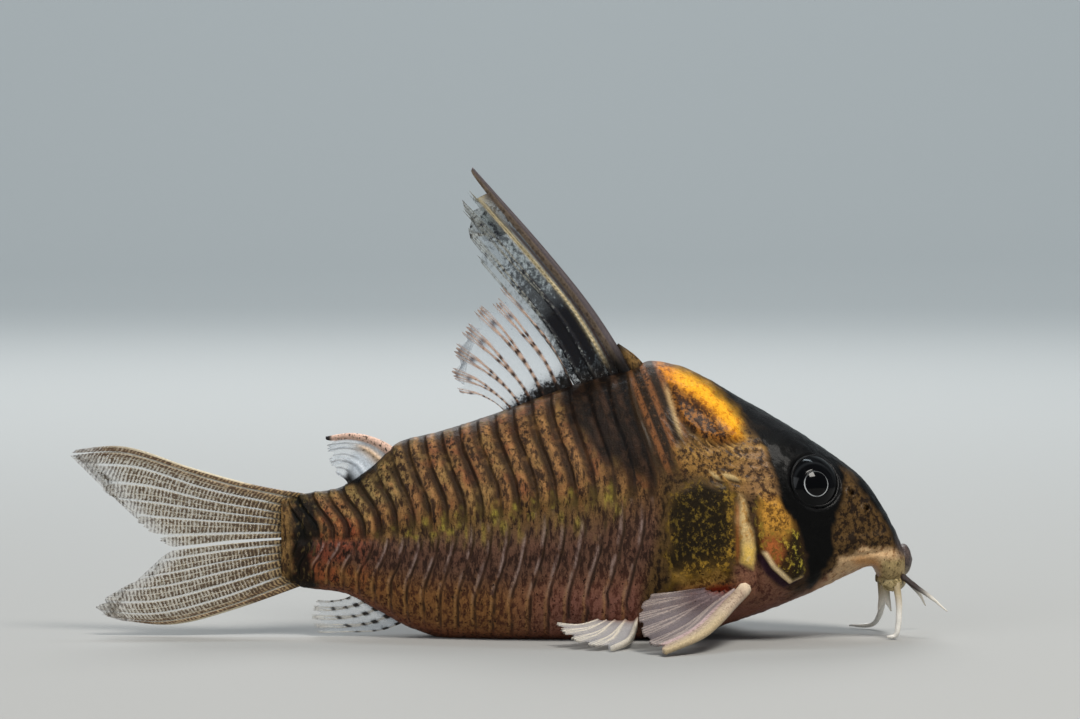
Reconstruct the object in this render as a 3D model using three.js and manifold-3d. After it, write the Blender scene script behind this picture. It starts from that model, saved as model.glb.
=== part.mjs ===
// A corydoras catfish resting on the bottom, life size, in millimetres.
// +X points to the snout, +Y to the fish's left, +Z up. The origin is under the middle of the
// fish, on the level surface that its belly, paired fins, anal fin and barbels rest on.
import * as THREE from 'three';
import { mergeVertices } from 'three/addons/utils/BufferGeometryUtils.js';
import Module from 'manifold-3d';

const wasm = await Module();
wasm.setup();

// Driving dimensions
const GAP = 0.3; // clearance between neighbouring pieces
const SNOUT_X = 36.0;
const GILL_X = 21.5; // rear of the head, at the height of the lateral line
const ARMOUR_X = 13.4; // front of the first body scute, at the lateral line
const STALK_X = -7.4; // front of the tail stalk
const BODY_END_X = -20.3; // fleshy end of the tail stalk
const SCUTES = 21; // plates in each of the two rows on a flank
const SCUTE_STEP = 0.34; // how far a plate's free rear edge stands proud
const SCUTE_DROP = 0.14; // share of a plate's length that the step takes
const EYE = { x: 27.5, y: 4.2, z: 14.4, radius: 2.25 };
const WEB = 0.5; // thickness of a fin between its rays
const RAY = 0.8; // thickness of a fin at a ray's root

// Profiles along the body, as [x, value] pairs
const TOP = [
  [-20.3, 12.2], [-18.2, 12.9], [-15.5, 13.3], [-12.2, 15.3], [-9.6, 17.6], [-6.5, 18.4],
  [-3.8, 19.2], [0, 20.5], [6, 22.7], [11.3, 24.2], [13, 24.9], [15, 24.6], [21, 21.6],
  [28.2, 17.2], [32, 14.3], [34.1, 11.3], [35.1, 9.2], [35.6, 8.2], [36, 7.2],
];
const BOTTOM = [
  [-20.3, 5.2], [-18.2, 4.4], [-15, 4.0], [-11.5, 2.3], [-8.5, 0.7], [-5, -0.25], [0, -0.35],
  [11, -0.35], [15.5, -0.05], [20, 1.3], [24, 2.7], [28, 4.35], [31, 5.8], [32.8, 6.4],
  [33.6, 5.2], [34.3, 4.6], [35.2, 4.6], [35.7, 5.2], [36, 6.3],
];
const FLANK = [
  [-20.3, 8.8], [-15, 8.9], [-9.6, 9.3], [-4, 10.4], [1.2, 11.3], [5.7, 12.1], [13.4, 13.0],
  [20, 10.6], [26, 9.4], [32, 8.6], [36, 6.9],
];
const HALF_WIDTH = [
  [-20.3, 0.45], [-18.6, 1.35], [-15, 2.3], [-10, 3.6], [-5, 5.0], [0, 6.2], [5, 7.1],
  [10, 7.6], [16, 7.8], [21, 7.6], [25, 7.0], [28.5, 6.0], [31, 5.0], [33, 4.1],
  [34.6, 3.4], [35.4, 2.6], [35.8, 1.7], [36, 0.9],
];
const ROOF = [
  [-20.3, 2.0], [0, 1.85], [13, 1.7], [21, 2.0], [27, 2.8], [31, 2.6], [36, 2.3],
];
const KEEL = [[-20.3, 2.0], [-8, 2.1], [0, 2.7], [20, 2.8], [30, 2.5], [36, 2.3]];
// How far the top and the belly of a ring lie from its lateral point, towards the snout
const TOP_LEAN = [[-20.3, 0], [-17, -1.9], [13.4, -2.4], [21.5, -9], [30, -1], [36, 0]];
const BELLY_LEAN = [[-20.3, 0], [-17, -1.2], [13.4, -1.6], [21.5, 0.5], [30, 0.3], [36, 0]];

const SIDE_ANGLES = [
  0, 0.14, 0.38, 0.66, 0.96, 1.26, 1.48, 1.571, 1.67, 1.92, 2.2, 2.46, 2.7, 2.93, Math.PI,
];
const ANGLES = [...SIDE_ANGLES, ...SIDE_ANGLES.slice(1, -1).reverse().map((a) => -a)];

// Smooth curve through [x, value] pairs that never overshoots them
function through(pairs) {
  const n = pairs.length;
  const slope = [];
  for (let i = 0; i < n - 1; i++) {
    slope.push((pairs[i + 1][1] - pairs[i][1]) / (pairs[i + 1][0] - pairs[i][0]));
  }
  const tangent = pairs.map((_, i) => {
    if (i === 0) return slope[0];
    if (i === n - 1) return slope[n - 2];
    const [a, b] = [slope[i - 1], slope[i]];
    return a * b > 0 ? (2 * a * b) / (a + b) : 0;
  });
  return (x) => {
    let i = 0;
    while (i < n - 2 && x > pairs[i + 1][0]) i++;
    const width = pairs[i + 1][0] - pairs[i][0];
    const t = THREE.MathUtils.clamp((x - pairs[i][0]) / width, 0, 1);
    const [t2, t3] = [t * t, t * t * t];
    return (
      (2 * t3 - 3 * t2 + 1) * pairs[i][1] +
      (t3 - 2 * t2 + t) * width * tangent[i] +
      (3 * t2 - 2 * t3) * pairs[i + 1][1] +
      (t3 - t2) * width * tangent[i + 1]
    );
  };
}

const topAt = through(TOP);
const bottomAt = through(BOTTOM);
const flankAt = through(FLANK);
const halfWidthAt = through(HALF_WIDTH);
const roofAt = through(ROOF);
const keelAt = through(KEEL);
const topLeanAt = through(TOP_LEAN);
const bellyLeanAt = through(BELLY_LEAN);

const { smoothstep, clamp } = THREE.MathUtils;

// Point of the body at x and angle, 0 at the back and PI at the belly, raised by lift
function bodyPoint(x, angle, lift = 0) {
  const [s, c] = [Math.sin(angle), Math.cos(angle)];
  const power = c >= 0 ? roofAt(x) : keelAt(x);
  const height = c >= 0 ? topAt(x) - flankAt(x) : flankAt(x) - bottomAt(x);
  const half = halfWidthAt(x);
  const across = Math.sign(s) * Math.abs(s) ** (2 / power);
  const up = Math.sign(c) * Math.abs(c) ** (2 / power);
  const normal = new THREE.Vector2(
    (Math.sign(s) * Math.abs(s) ** (2 - 2 / power)) / half,
    (Math.sign(c) * Math.abs(c) ** (2 - 2 / power)) / height,
  ).normalize();
  return new THREE.Vector3(
    x,
    half * across + lift * normal.x,
    flankAt(x) + height * up + lift * normal.y,
  );
}

// Where a ring that crosses the lateral line at x lies at another angle
function leaned(x, angle) {
  const c = Math.cos(angle);
  if (c >= 0) return x + topLeanAt(x) * smoothstep(c, 0.15, 1);
  return x + bellyLeanAt(x) * smoothstep(-c, 0, 0.6);
}

// Height of the scutes at plate number q, counted from the front, and angle
function scuteLift(q, angle) {
  const a = Math.abs(angle);
  const shift = a < Math.PI / 2 ? 0 : 0.5;
  const part = (((q + shift) % 1) + 1) % 1;
  const ramp = part < SCUTE_DROP ? 1 - part / SCUTE_DROP : (part - SCUTE_DROP) / (1 - SCUTE_DROP);
  const atLateral = smoothstep(Math.abs(a - Math.PI / 2), 0.02, 0.12);
  const atBack = smoothstep(a, 0.05, 0.3);
  const atBelly = 1 - smoothstep(a, 2.4, 2.9);
  return SCUTE_STEP * ramp * atLateral * atBack * atBelly;
}

// Lateral x of plate number q: plates get shorter towards the tail
function plateX(q) {
  const t = q / SCUTES;
  const length = ARMOUR_X - (BODY_END_X + 0.9);
  return ARMOUR_X - length * (t * 1.16 - 0.16 * t * t);
}

// Rings of the whole body from the snout back: lateral x and plate number, if armoured
function bodyRings() {
  const rings = [];
  const headSteps = 24;
  for (let i = 0; i <= headSteps; i++) {
    rings.push({ x: SNOUT_X - (SNOUT_X - GILL_X) * (i / headSteps) ** 1.5 });
  }
  const shoulderSteps = 6;
  for (let i = 1; i < shoulderSteps; i++) {
    rings.push({ x: GILL_X + ((ARMOUR_X - GILL_X) * i) / shoulderSteps });
  }
  for (let k = 0; k < 2 * SCUTES; k++) {
    rings.push({ x: plateX(k / 2), q: k / 2 });
    rings.push({ x: plateX((k + SCUTE_DROP * 2) / 2), q: (k + SCUTE_DROP * 2) / 2 });
  }
  rings.push({ x: BODY_END_X + 0.5 }, { x: BODY_END_X });
  return rings;
}

function ringPoints({ x, q }, extra = 0, shift = 0) {
  return ANGLES.map((angle) => {
    const lift = (q === undefined ? 0 : scuteLift(q, angle)) + extra;
    const p = bodyPoint(leaned(x, angle), angle, lift);
    p.z = Math.max(p.z, -extra);
    p.x += shift;
    return p;
  });
}

// Closed solid from a manifold mesh built of points and triangles
function solidFrom(points, triangles) {
  const geometry = new THREE.BufferGeometry();
  geometry.setAttribute(
    'position',
    new THREE.Float32BufferAttribute(points.flatMap((p) => [p.x, p.y, p.z]), 3),
  );
  geometry.setIndex(triangles.flat());
  return solidOf(geometry);
}

function solidOf(source) {
  const geometry = source.clone();
  geometry.deleteAttribute('normal');
  geometry.deleteAttribute('uv');
  const merged = mergeVertices(geometry, 1e-4);
  return new wasm.Manifold(
    new wasm.Mesh({
      numProp: 3,
      vertProperties: new Float32Array(merged.attributes.position.array),
      triVerts: new Uint32Array(merged.index.array),
    }),
  );
}

// The largest closed body of a solid, without loose scraps
function largest(solid) {
  return solid.decompose().reduce((a, b) => (a.volume() > b.volume() ? a : b));
}

function fused(solids) {
  return solids.reduce((a, b) => a.add(b));
}

function meshOf(name, solid, material) {
  const made = largest(solid).getMesh();
  const geometry = new THREE.BufferGeometry();
  geometry.setAttribute('position', new THREE.BufferAttribute(made.vertProperties, 3));
  geometry.setIndex(new THREE.BufferAttribute(made.triVerts, 1));
  geometry.computeVertexNormals();
  const mesh = new THREE.Mesh(geometry, material);
  mesh.name = name;
  return mesh;
}

// Closed loft over rings of equal point count, each end closed by a fan
function loft(rings) {
  const n = rings[0].length;
  const points = rings.flat();
  const triangles = [];
  for (let r = 0; r < rings.length - 1; r++) {
    for (let i = 0; i < n; i++) {
      const [a, b] = [r * n + i, r * n + ((i + 1) % n)];
      const [c, d] = [a + n, b + n];
      triangles.push([a, b, d], [a, d, c]);
    }
  }
  const middle = (ring) =>
    ring.reduce((sum, p) => sum.add(p), new THREE.Vector3()).divideScalar(n);
  const [front, back] = [points.length, points.length + 1];
  points.push(middle(rings[0]), middle(rings.at(-1)));
  const last = (rings.length - 1) * n;
  for (let i = 0; i < n; i++) {
    const j = (i + 1) % n;
    triangles.push([front, j, i], [back, last + i, last + j]);
  }
  return solidFrom(points, triangles);
}

const RINGS = bodyRings();
const gillRing = RINGS.findIndex((ring) => ring.x <= GILL_X + 1e-6);
const stalkRing = RINGS.findIndex((ring) => ring.x <= STALK_X);

// A stretch of the body between two rings, its cut ends drawn back by half a gap
function bodyLength(first, last) {
  const rings = RINGS.slice(first, last + 1).map((ring, i, all) => {
    const isCutFront = i === 0 && first > 0;
    const isCutBack = i === all.length - 1 && last < RINGS.length - 1;
    return ringPoints(ring, 0, isCutFront ? -GAP / 2 : isCutBack ? GAP / 2 : 0);
  });
  return loft(rings);
}

// Point on the flank seen from the side at x and z, raised by lift
function flankPoint(x, z, side, lift) {
  const isAbove = z >= flankAt(x);
  const power = isAbove ? roofAt(x) : keelAt(x);
  const height = isAbove ? topAt(x) - flankAt(x) : flankAt(x) - bottomAt(x);
  const rise = clamp(Math.abs(z - flankAt(x)) / height, 0, 0.995);
  const half = halfWidthAt(x);
  const across = half * (1 - rise ** power) ** (1 / power);
  const normal = new THREE.Vector2(
    (across / half) ** (power - 1) / half,
    ((isAbove ? 1 : -1) * rise ** (power - 1)) / height,
  ).normalize();
  return new THREE.Vector3(x, side * (across + lift * normal.x), z + lift * normal.y);
}

// A bony plate raised on the flank, its outline given in side view as [x, z]
const PLATE_LIFT = 0.38;
const PLATE_ROOT = -0.9;
function flankPlate(outline, side, extra = 0, count = 20) {
  const corners = outline.map(([x, z]) => new THREE.Vector2(x, z));
  const rim = new THREE.SplineCurve([...corners, corners[0]]);
  const centre = corners
    .reduce((sum, corner) => sum.add(corner), new THREE.Vector2())
    .divideScalar(corners.length);
  const at = (i, share, lift) => {
    const p = rim.getPoint(i / count).lerp(centre, 1 - share);
    const outward = p.clone().sub(centre).normalize().multiplyScalar(share * extra);
    return flankPoint(p.x + outward.x, p.y + outward.y, side, lift);
  };
  const lift = PLATE_LIFT + extra;
  const rows = [
    [0.5, lift],
    [1, lift],
    [1, PLATE_ROOT],
    [0.5, PLATE_ROOT],
  ];
  const points = rows.flatMap(([share, raise]) =>
    Array.from({ length: count }, (_, i) => at(i, share, raise)),
  );
  points.push(at(0, 0, lift), at(0, 0, PLATE_ROOT));
  const [outer, inner] = [points.length - 2, points.length - 1];
  const triangles = [];
  for (let i = 0; i < count; i++) {
    const j = (i + 1) % count;
    triangles.push([outer, j, i]);
    for (let r = 0; r < rows.length - 1; r++) {
      const [a, b] = [r * count + i, r * count + j];
      triangles.push([a, b, a + count], [b, b + count, a + count]);
    }
    const base = (rows.length - 1) * count;
    triangles.push([inner, base + i, base + j]);
  }
  const made = solidFrom(points, triangles);
  return made.volume() < 0 ? solidFrom(points, triangles.map(([a, b, c]) => [a, c, b])) : made;
}

const NAPE_PLATE = [
  [14.6, 23.3], [16.2, 22.6], [18.2, 21.2], [20.2, 19.4], [21.0, 18.2], [19.4, 17.4],
  [17.4, 18.4], [15.9, 20.8],
];
const GILL_COVER = [
  [22.4, 13.2], [24.3, 12.6], [26.0, 10.2], [26.6, 7.6], [26.2, 5.2], [24.8, 4.4],
  [23.4, 6.0], [22.5, 8.6], [22.1, 11.2],
];
const SHOULDER_PLATE = [
  [14.6, 13.2], [17.2, 14.6], [19.2, 14.0], [20.4, 11.4], [20.6, 8.2], [19.4, 6.4],
  [16.6, 5.6], [14.6, 5.0], [14.2, 8.8],
];

function sphereAt(x, y, z, radius, stretch = [1, 1, 1], sides = [16, 10]) {
  const sphere = new THREE.SphereGeometry(radius, ...sides);
  sphere.rotateX(Math.PI / 2);
  sphere.scale(...stretch);
  sphere.translate(x, y, z);
  return solidOf(sphere);
}

// Tapered round tube along a curve, closed at both ends
function taperedTube(curve, radii, steps, sides = 8) {
  const radiusAt = through(radii);
  const frames = curve.computeFrenetFrames(steps, false);
  const rings = [];
  for (let i = 0; i <= steps; i++) {
    const p = curve.getPointAt(i / steps);
    const radius = radiusAt(i / steps);
    rings.push(
      Array.from({ length: sides }, (_, k) => {
        const a = (-k / sides) * 2 * Math.PI;
        return p
          .clone()
          .addScaledVector(frames.normals[i], radius * Math.cos(a))
          .addScaledVector(frames.binormals[i], radius * Math.sin(a));
      }),
    );
  }
  const made = loft(rings);
  return made.volume() < 0 ? loft(rings.map((ring) => ring.slice().reverse())) : made;
}

const vector = ([x, y, z]) => new THREE.Vector3(x, y, z);
const splineThrough = (points) => new THREE.CatmullRomCurve3(points.map(vector));

// Fin: rays are curves from root to tip, joined by a thinner web that ends just short of them.
// Each ray holds its points, its thickness at root and tip, and, for a spine, how far its
// rounded front edge stands out before it.
function finSolid(rays, rows, webShare = 0.94, width = { root: RAY, tip: 0.42 }) {
  const curves = rays.map(({ points }) => splineThrough(points));
  const columns = [];
  rays.forEach((ray, r) => {
    const root = ray.root ?? width.root;
    const tip = ray.tip ?? width.tip;
    const along = (t) => curves[r].getPoint(t);
    const isLast = r === rays.length - 1;
    const edge = {
      at: (t) => {
        const ahead = along(t).sub(curves[isLast ? r - 1 : r + 1].getPoint(t)).normalize();
        return along(t).addScaledVector(ahead, ray.edge * (1 - 0.6 * t));
      },
      thick: () => 0.3,
    };
    if (ray.edge && !isLast) columns.push(edge);
    columns.push({ at: along, thick: (t) => root + (tip - root) * t });
    if (ray.edge && isLast) columns.push(edge);
    if (!isLast) {
      columns.push({
        at: (t) => along(t * webShare).lerp(curves[r + 1].getPoint(t * webShare), 0.5),
        thick: (t) => WEB - 0.12 * t,
      });
    }
  });
  const grid = [];
  for (let i = 0; i <= rows; i++) {
    grid.push(columns.map((column) => column.at(i / rows)));
  }
  const last = columns.length - 1;
  const normalAt = (i, c) => {
    const along = grid[Math.min(i + 1, rows)][c].clone().sub(grid[Math.max(i - 1, 0)][c]);
    const across = grid[i][Math.min(c + 1, last)].clone().sub(grid[i][Math.max(c - 1, 0)]);
    return along.cross(across).normalize();
  };
  const points = [];
  for (const face of [1, -1]) {
    for (let i = 0; i <= rows; i++) {
      columns.forEach((column, c) => {
        const half = (face * column.thick(i / rows)) / 2;
        points.push(grid[i][c].clone().addScaledVector(normalAt(i, c), half));
      });
    }
  }
  const count = columns.length;
  const back = count * (rows + 1);
  const triangles = [];
  for (let i = 0; i < rows; i++) {
    for (let c = 0; c < last; c++) {
      const [a, b] = [i * count + c, i * count + c + 1];
      const [d, e] = [a + count, b + count];
      triangles.push([a, e, b], [a, d, e]);
      triangles.push([back + a, back + b, back + e], [back + a, back + e, back + d]);
    }
  }
  const rim = [];
  for (let c = 0; c < last; c++) rim.push(c);
  for (let i = 0; i < rows; i++) rim.push(i * count + last);
  for (let c = last; c > 0; c--) rim.push(rows * count + c);
  for (let i = rows; i > 0; i--) rim.push(i * count);
  rim.forEach((a, k) => {
    const b = rim[(k + 1) % rim.length];
    triangles.push([a, b, back + b], [a, back + b, back + a]);
  });
  const made = solidFrom(points, triangles);
  return made.volume() < 0 ? solidFrom(points, triangles.map(([a, b, c]) => [a, c, b])) : made;
}

const mirrored = (points) => points.map(([x, y, z]) => [x, -y, z]);
const sideOf = (points, side) => (side > 0 ? points : mirrored(points));

// Colours, roughness and metalness of each material
const paint = (color, roughness, metalness = 0) =>
  new THREE.MeshStandardMaterial({ color, roughness, metalness });
const MATERIALS = {
  skin: paint(0x6b4c30, 0.42),
  eye: paint(0x080706, 0.08),
  fin: paint(0x9c8f80, 0.45),
  barbel: paint(0xb8ad98, 0.4),
};

// Head: skull with gill covers, eye sockets, nostrils, snout lobe, lips and mouth
const NOSTRILS = [[30.8, 13.3, 0.4], [32.2, 11.9, 0.34]];
const SNOUT_LOBE = { centre: [35.85, 0, 7.0], radii: [0.62, 1.9, 1.35] };
const LIP = [
  [33.5, 1.5, 4.85], [34.4, 2.1, 4.55], [35.15, 1.5, 4.6], [35.4, 0, 4.7],
  [35.15, -1.5, 4.6], [34.4, -2.1, 4.55], [33.5, -1.5, 4.85],
];
const LIP_RADII = [[0, 0.35], [0.2, 0.55], [0.5, 0.5], [0.8, 0.55], [1, 0.35]];

function lipSolid(extra = 0) {
  const radii = LIP_RADII.map(([t, radius]) => [t, radius + extra]);
  return taperedTube(splineThrough(LIP), radii, 13, 8);
}

function ovalAt([x, y, z], [rx, ry, rz], extra = 0, sides = [16, 10]) {
  return sphereAt(x, y, z, 1, [rx + extra, ry + extra, rz + extra], sides);
}

// A ball on the skin at [x, z], its centre raised by lift
function ballOnSkin(x, z, side, lift, radius) {
  const p = flankPoint(x, z, side, lift);
  return sphereAt(p.x, p.y, p.z, radius, [1, 1, 1], [10, 6]);
}

const SIDES = [1, -1];

function headSolid() {
  const raised = SIDES.flatMap((side) => [
    flankPlate(GILL_COVER, side),
    flankPlate(NAPE_PLATE, side),
    ...NOSTRILS.map(([x, z, radius]) => ballOnSkin(x, z, side, -1.1 * radius, 1.7 * radius)),
  ]);
  const holes = SIDES.flatMap((side) => [
    sphereAt(EYE.x, side * EYE.y, EYE.z, EYE.radius + GAP, [1, 1, 1], [20, 12]),
    ...NOSTRILS.map(([x, z, radius]) => ballOnSkin(x, z, side, 0.55 * radius, 0.85 * radius)),
  ]);
  const mouth = ovalAt([34.6, 0, 4.3], [0.7, 1.3, 0.9]);
  const lobe = ovalAt(SNOUT_LOBE.centre, SNOUT_LOBE.radii);
  const skull = fused([bodyLength(0, gillRing), lobe, lipSolid(), ...raised]);
  return skull.subtract(fused([...holes, mouth]));
}

function torsoSolid() {
  const plates = SIDES.map((side) => flankPlate(SHOULDER_PLATE, side));
  return fused([bodyLength(gillRing, stalkRing), ...plates]);
}

// The body with all that is raised on it, grown by the gap: roots are cut back to it
const clearance = fused([
  loft(RINGS.map((ring) => ringPoints(ring, GAP))),
  ovalAt(SNOUT_LOBE.centre, SNOUT_LOBE.radii, GAP),
  lipSolid(GAP),
  ...SIDES.flatMap((side) =>
    [NAPE_PLATE, GILL_COVER, SHOULDER_PLATE].map((plate) => flankPlate(plate, side, GAP)),
  ),
]);

// Fins. Roots start inside the body and are cut back to its clearance.
const DORSAL_SPINE = [[11.4, 0, 23.0], [7.5, 0, 29.2], [3.0, 0, 35.0], [-3.1, 0, 42.2]];
const SPINELET = [[12.0, 0, 23.6], [11.5, 0, 25.0], [10.4, 0, 26.3]];
const SPINELET_RADII = [[0, 0.85], [0.6, 0.7], [1, 0.3]];
const DORSAL_FRONT = [
  { points: DORSAL_SPINE, root: 1.5, tip: 0.5, edge: 0.55 },
  {
    points: [[9.9, 0, 22.6], [6.4, 0.05, 28.8], [2.0, 0.1, 34.2], [-3.7, 0.15, 40.7]],
    root: 1.0,
  },
  { points: [[8.6, 0, 22.2], [5.2, 0.1, 28.3], [1.0, 0.2, 33.4], [-4.2, 0.25, 39.1]] },
  { points: [[7.4, 0, 21.8], [4.2, 0.15, 27.3], [0.6, 0.3, 31.8], [-3.6, 0.3, 36.6]] },
];
const DORSAL_REAR = [
  { points: [[6.6, 0, 21.4], [4.6, 0.1, 25.4], [2.4, 0.2, 28.6], [-0.6, 0.2, 31.9]] },
  { points: [[5.2, 0, 20.9], [3.6, 0.05, 24.6], [1.2, 0.1, 27.8], [-1.0, 0.1, 30.3]] },
  { points: [[3.9, 0, 20.5], [2.2, 0, 23.9], [-0.2, 0, 27.2], [-2.7, 0, 29.8]] },
  { points: [[2.8, 0, 20.1], [1.2, 0, 22.9], [-1.2, 0, 25.6], [-3.9, 0, 28.0]] },
  { points: [[1.9, 0, 19.8], [0.3, 0, 22.1], [-2.0, 0, 24.2], [-4.9, 0, 26.1]] },
  { points: [[1.2, 0, 19.6], [-0.4, 0, 21.4], [-2.4, 0, 22.8], [-5.1, 0, 23.8]] },
  { points: [[0.6, 0, 19.4], [-0.8, 0, 20.9], [-2.4, 0, 21.7], [-4.5, 0, 22.0]] },
];
const ADIPOSE = [
  {
    points: [[-9.4, 0, 16.2], [-11.6, 0, 17.6], [-13.9, 0, 18.2], [-16.3, 0, 18.0]],
    root: 1.0, edge: 0.3,
  },
  { points: [[-10.6, 0, 15.2], [-12.6, 0, 16.9], [-14.4, 0, 17.3], [-16.3, 0, 17.0]] },
  { points: [[-12.2, 0, 13.8], [-13.4, 0, 15.5], [-14.8, 0, 16.0], [-16.0, 0, 15.7]] },
  { points: [[-13.8, 0, 12.6], [-14.4, 0, 14.0], [-14.9, 0, 14.4], [-15.3, 0, 14.6]] },
];
const ANAL = [
  {
    points: [[-8.6, 0, 1.6], [-11.0, 0, 0.62], [-13.4, 0, 0.36], [-17.3, 0, 0.3]],
    root: 0.9, tip: 0.5,
  },
  { points: [[-9.7, 0, 2.4], [-12.0, 0, 1.3], [-14.4, 0, 0.95], [-17.6, 0, 0.95]] },
  { points: [[-10.9, 0, 3.0], [-12.9, 0, 2.0], [-15.2, 0, 1.7], [-17.7, 0, 1.75]] },
  { points: [[-12.0, 0, 3.6], [-13.7, 0, 2.8], [-15.7, 0, 2.5], [-17.6, 0, 2.55]] },
  { points: [[-13.0, 0, 4.4], [-14.4, 0, 3.5], [-15.8, 0, 3.25], [-17.2, 0, 3.3]] },
];
const CAUDAL_UPPER = [
  {
    points: [
      [-17.9, 0, 12.7], [-23.2, 0.1, 13.7], [-28.6, 0.2, 15.2], [-34.4, 0.4, 17.0],
      [-39.2, 0.5, 16.8],
    ],
    edge: 0.3,
  },
  { points: [[-18.8, 0, 12.0], [-26.9, 0.2, 13.8], [-33.8, 0.5, 16.0], [-39.4, 0.6, 16.1]] },
  { points: [[-19.2, 0, 11.3], [-26.7, 0.2, 12.7], [-32.6, 0.5, 14.4], [-37.0, 0.7, 14.9]] },
  { points: [[-19.3, 0, 10.7], [-26.4, 0.2, 11.7], [-32.0, 0.5, 12.7], [-36.4, 0.8, 13.0]] },
  { points: [[-19.3, 0, 10.2], [-26.0, 0.2, 10.8], [-30.8, 0.5, 11.3], [-34.8, 0.7, 11.9]] },
  { points: [[-19.3, 0, 9.8], [-25.4, 0.15, 9.9], [-29.6, 0.4, 10.0], [-33.2, 0.5, 10.1]] },
  { points: [[-19.3, 0, 9.3], [-24.4, 0.1, 9.1], [-27.6, 0.3, 8.8], [-30.6, 0.4, 8.6]] },
];
const CAUDAL_LOWER = [
  { points: [[-19.3, 0, 8.5], [-24.4, 0.1, 8.0], [-27.6, 0.3, 7.5], [-30.7, 0.4, 7.0]] },
  { points: [[-19.3, 0, 8.0], [-25.2, 0.1, 7.2], [-29.0, 0.3, 6.5], [-32.2, 0.4, 5.8]] },
  { points: [[-19.3, 0, 7.5], [-25.6, 0.15, 6.3], [-30.2, 0.3, 5.2], [-34.3, 0.4, 4.6]] },
  { points: [[-19.3, 0, 6.9], [-25.9, 0.15, 5.2], [-31.2, 0.3, 3.9], [-36.2, 0.4, 3.5]] },
  { points: [[-19.2, 0, 6.3], [-25.9, 0.15, 4.0], [-31.8, 0.3, 2.5], [-37.2, 0.4, 2.6]] },
  { points: [[-18.8, 0, 5.6], [-25.7, 0.15, 2.9], [-31.4, 0.3, 1.6], [-36.6, 0.4, 1.9]] },
  { points: [[-17.9, 0, 5.0], [-24.8, 0.15, 2.5], [-30.2, 0.3, 1.1], [-35.0, 0.4, 1.4]], edge: 0.3 },
];
const PECTORAL = [
  {
    points: [[21.4, -5.9, 5.1], [19.8, -10.6, 3.8], [17.4, -15.2, 1.8], [13.9, -18.4, 0.42]],
    root: 1.7, tip: 0.7, edge: 0.6,
  },
  {
    points: [[20.8, -5.9, 4.9], [18.4, -10.2, 3.8], [15.8, -14.2, 2.1], [12.6, -16.8, 0.9]],
    root: 1.0,
  },
  { points: [[20.2, -5.9, 4.8], [17.6, -9.6, 3.9], [15.0, -12.6, 2.8], [11.9, -14.6, 1.8]] },
  { points: [[19.6, -5.9, 4.7], [17.1, -8.9, 4.1], [14.6, -11.2, 3.5], [11.6, -12.4, 2.9]] },
  { points: [[19.0, -5.9, 4.7], [16.8, -8.3, 4.4], [14.5, -9.8, 4.2], [12.0, -10.4, 3.9]] },
  { points: [[18.4, -5.9, 4.8], [16.8, -7.8, 4.9], [14.9, -8.9, 4.8], [12.9, -9.2, 4.6]] },
];
const PELVIC = [
  {
    points: [[11.9, -3.0, 2.2], [11.6, -7.4, 1.6], [11.0, -11.2, 0.8], [9.4, -14.2, 0.36]],
    root: 0.9, tip: 0.5,
  },
  { points: [[11.1, -2.9, 2.2], [10.3, -7.2, 1.7], [9.2, -10.8, 0.95], [7.5, -13.6, 0.5]] },
  { points: [[10.5, -2.9, 2.2], [9.3, -6.8, 1.7], [8.0, -10.0, 1.2], [6.0, -12.2, 0.9]] },
  { points: [[9.9, -2.9, 2.2], [8.6, -6.4, 1.75], [7.0, -9.2, 1.5], [4.9, -10.8, 1.5]] },
  { points: [[9.3, -2.9, 2.2], [7.9, -6.1, 1.85], [6.3, -8.4, 1.85], [4.3, -9.4, 2.2]] },
];

// Barbels: two at each corner of the mouth and one flap under each side of the lower lip
const BARBELS = {
  upper: {
    right: [[35.5, -1.9, 5.6], [36.9, -2.9, 4.6], [38.2, -3.8, 3.7], [39.4, -4.6, 2.7]],
    left: [[35.5, 1.9, 5.6], [36.6, 3.2, 4.5], [37.6, 4.7, 3.3], [38.2, 6.0, 2.2]],
    radii: [[0, 0.42], [0.5, 0.3], [1, 0.16]],
  },
  lower: {
    right: [
      [35.0, -2.2, 5.0], [35.2, -2.9, 3.0], [35.1, -3.1, 1.1], [34.8, -3.1, 0.34],
      [34.1, -3.2, 0.28],
    ],
    left: [
      [34.4, 2.2, 5.0], [34.2, 3.6, 3.2], [33.9, 5.0, 1.4], [33.2, 6.2, 0.42],
      [31.3, 7.2, 0.28],
    ],
    radii: [[0, 0.42], [0.5, 0.31], [0.85, 0.26], [1, 0.22]],
  },
  chin: {
    right: [[34.0, -0.9, 5.0], [34.2, -1.2, 3.6], [34.6, -1.3, 2.4]],
    left: [[33.9, 0.9, 5.0], [33.9, 1.3, 3.4], [33.6, 1.5, 2.2]],
    radii: [[0, 0.5], [0.6, 0.36], [1, 0.18]],
  },
};

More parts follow.
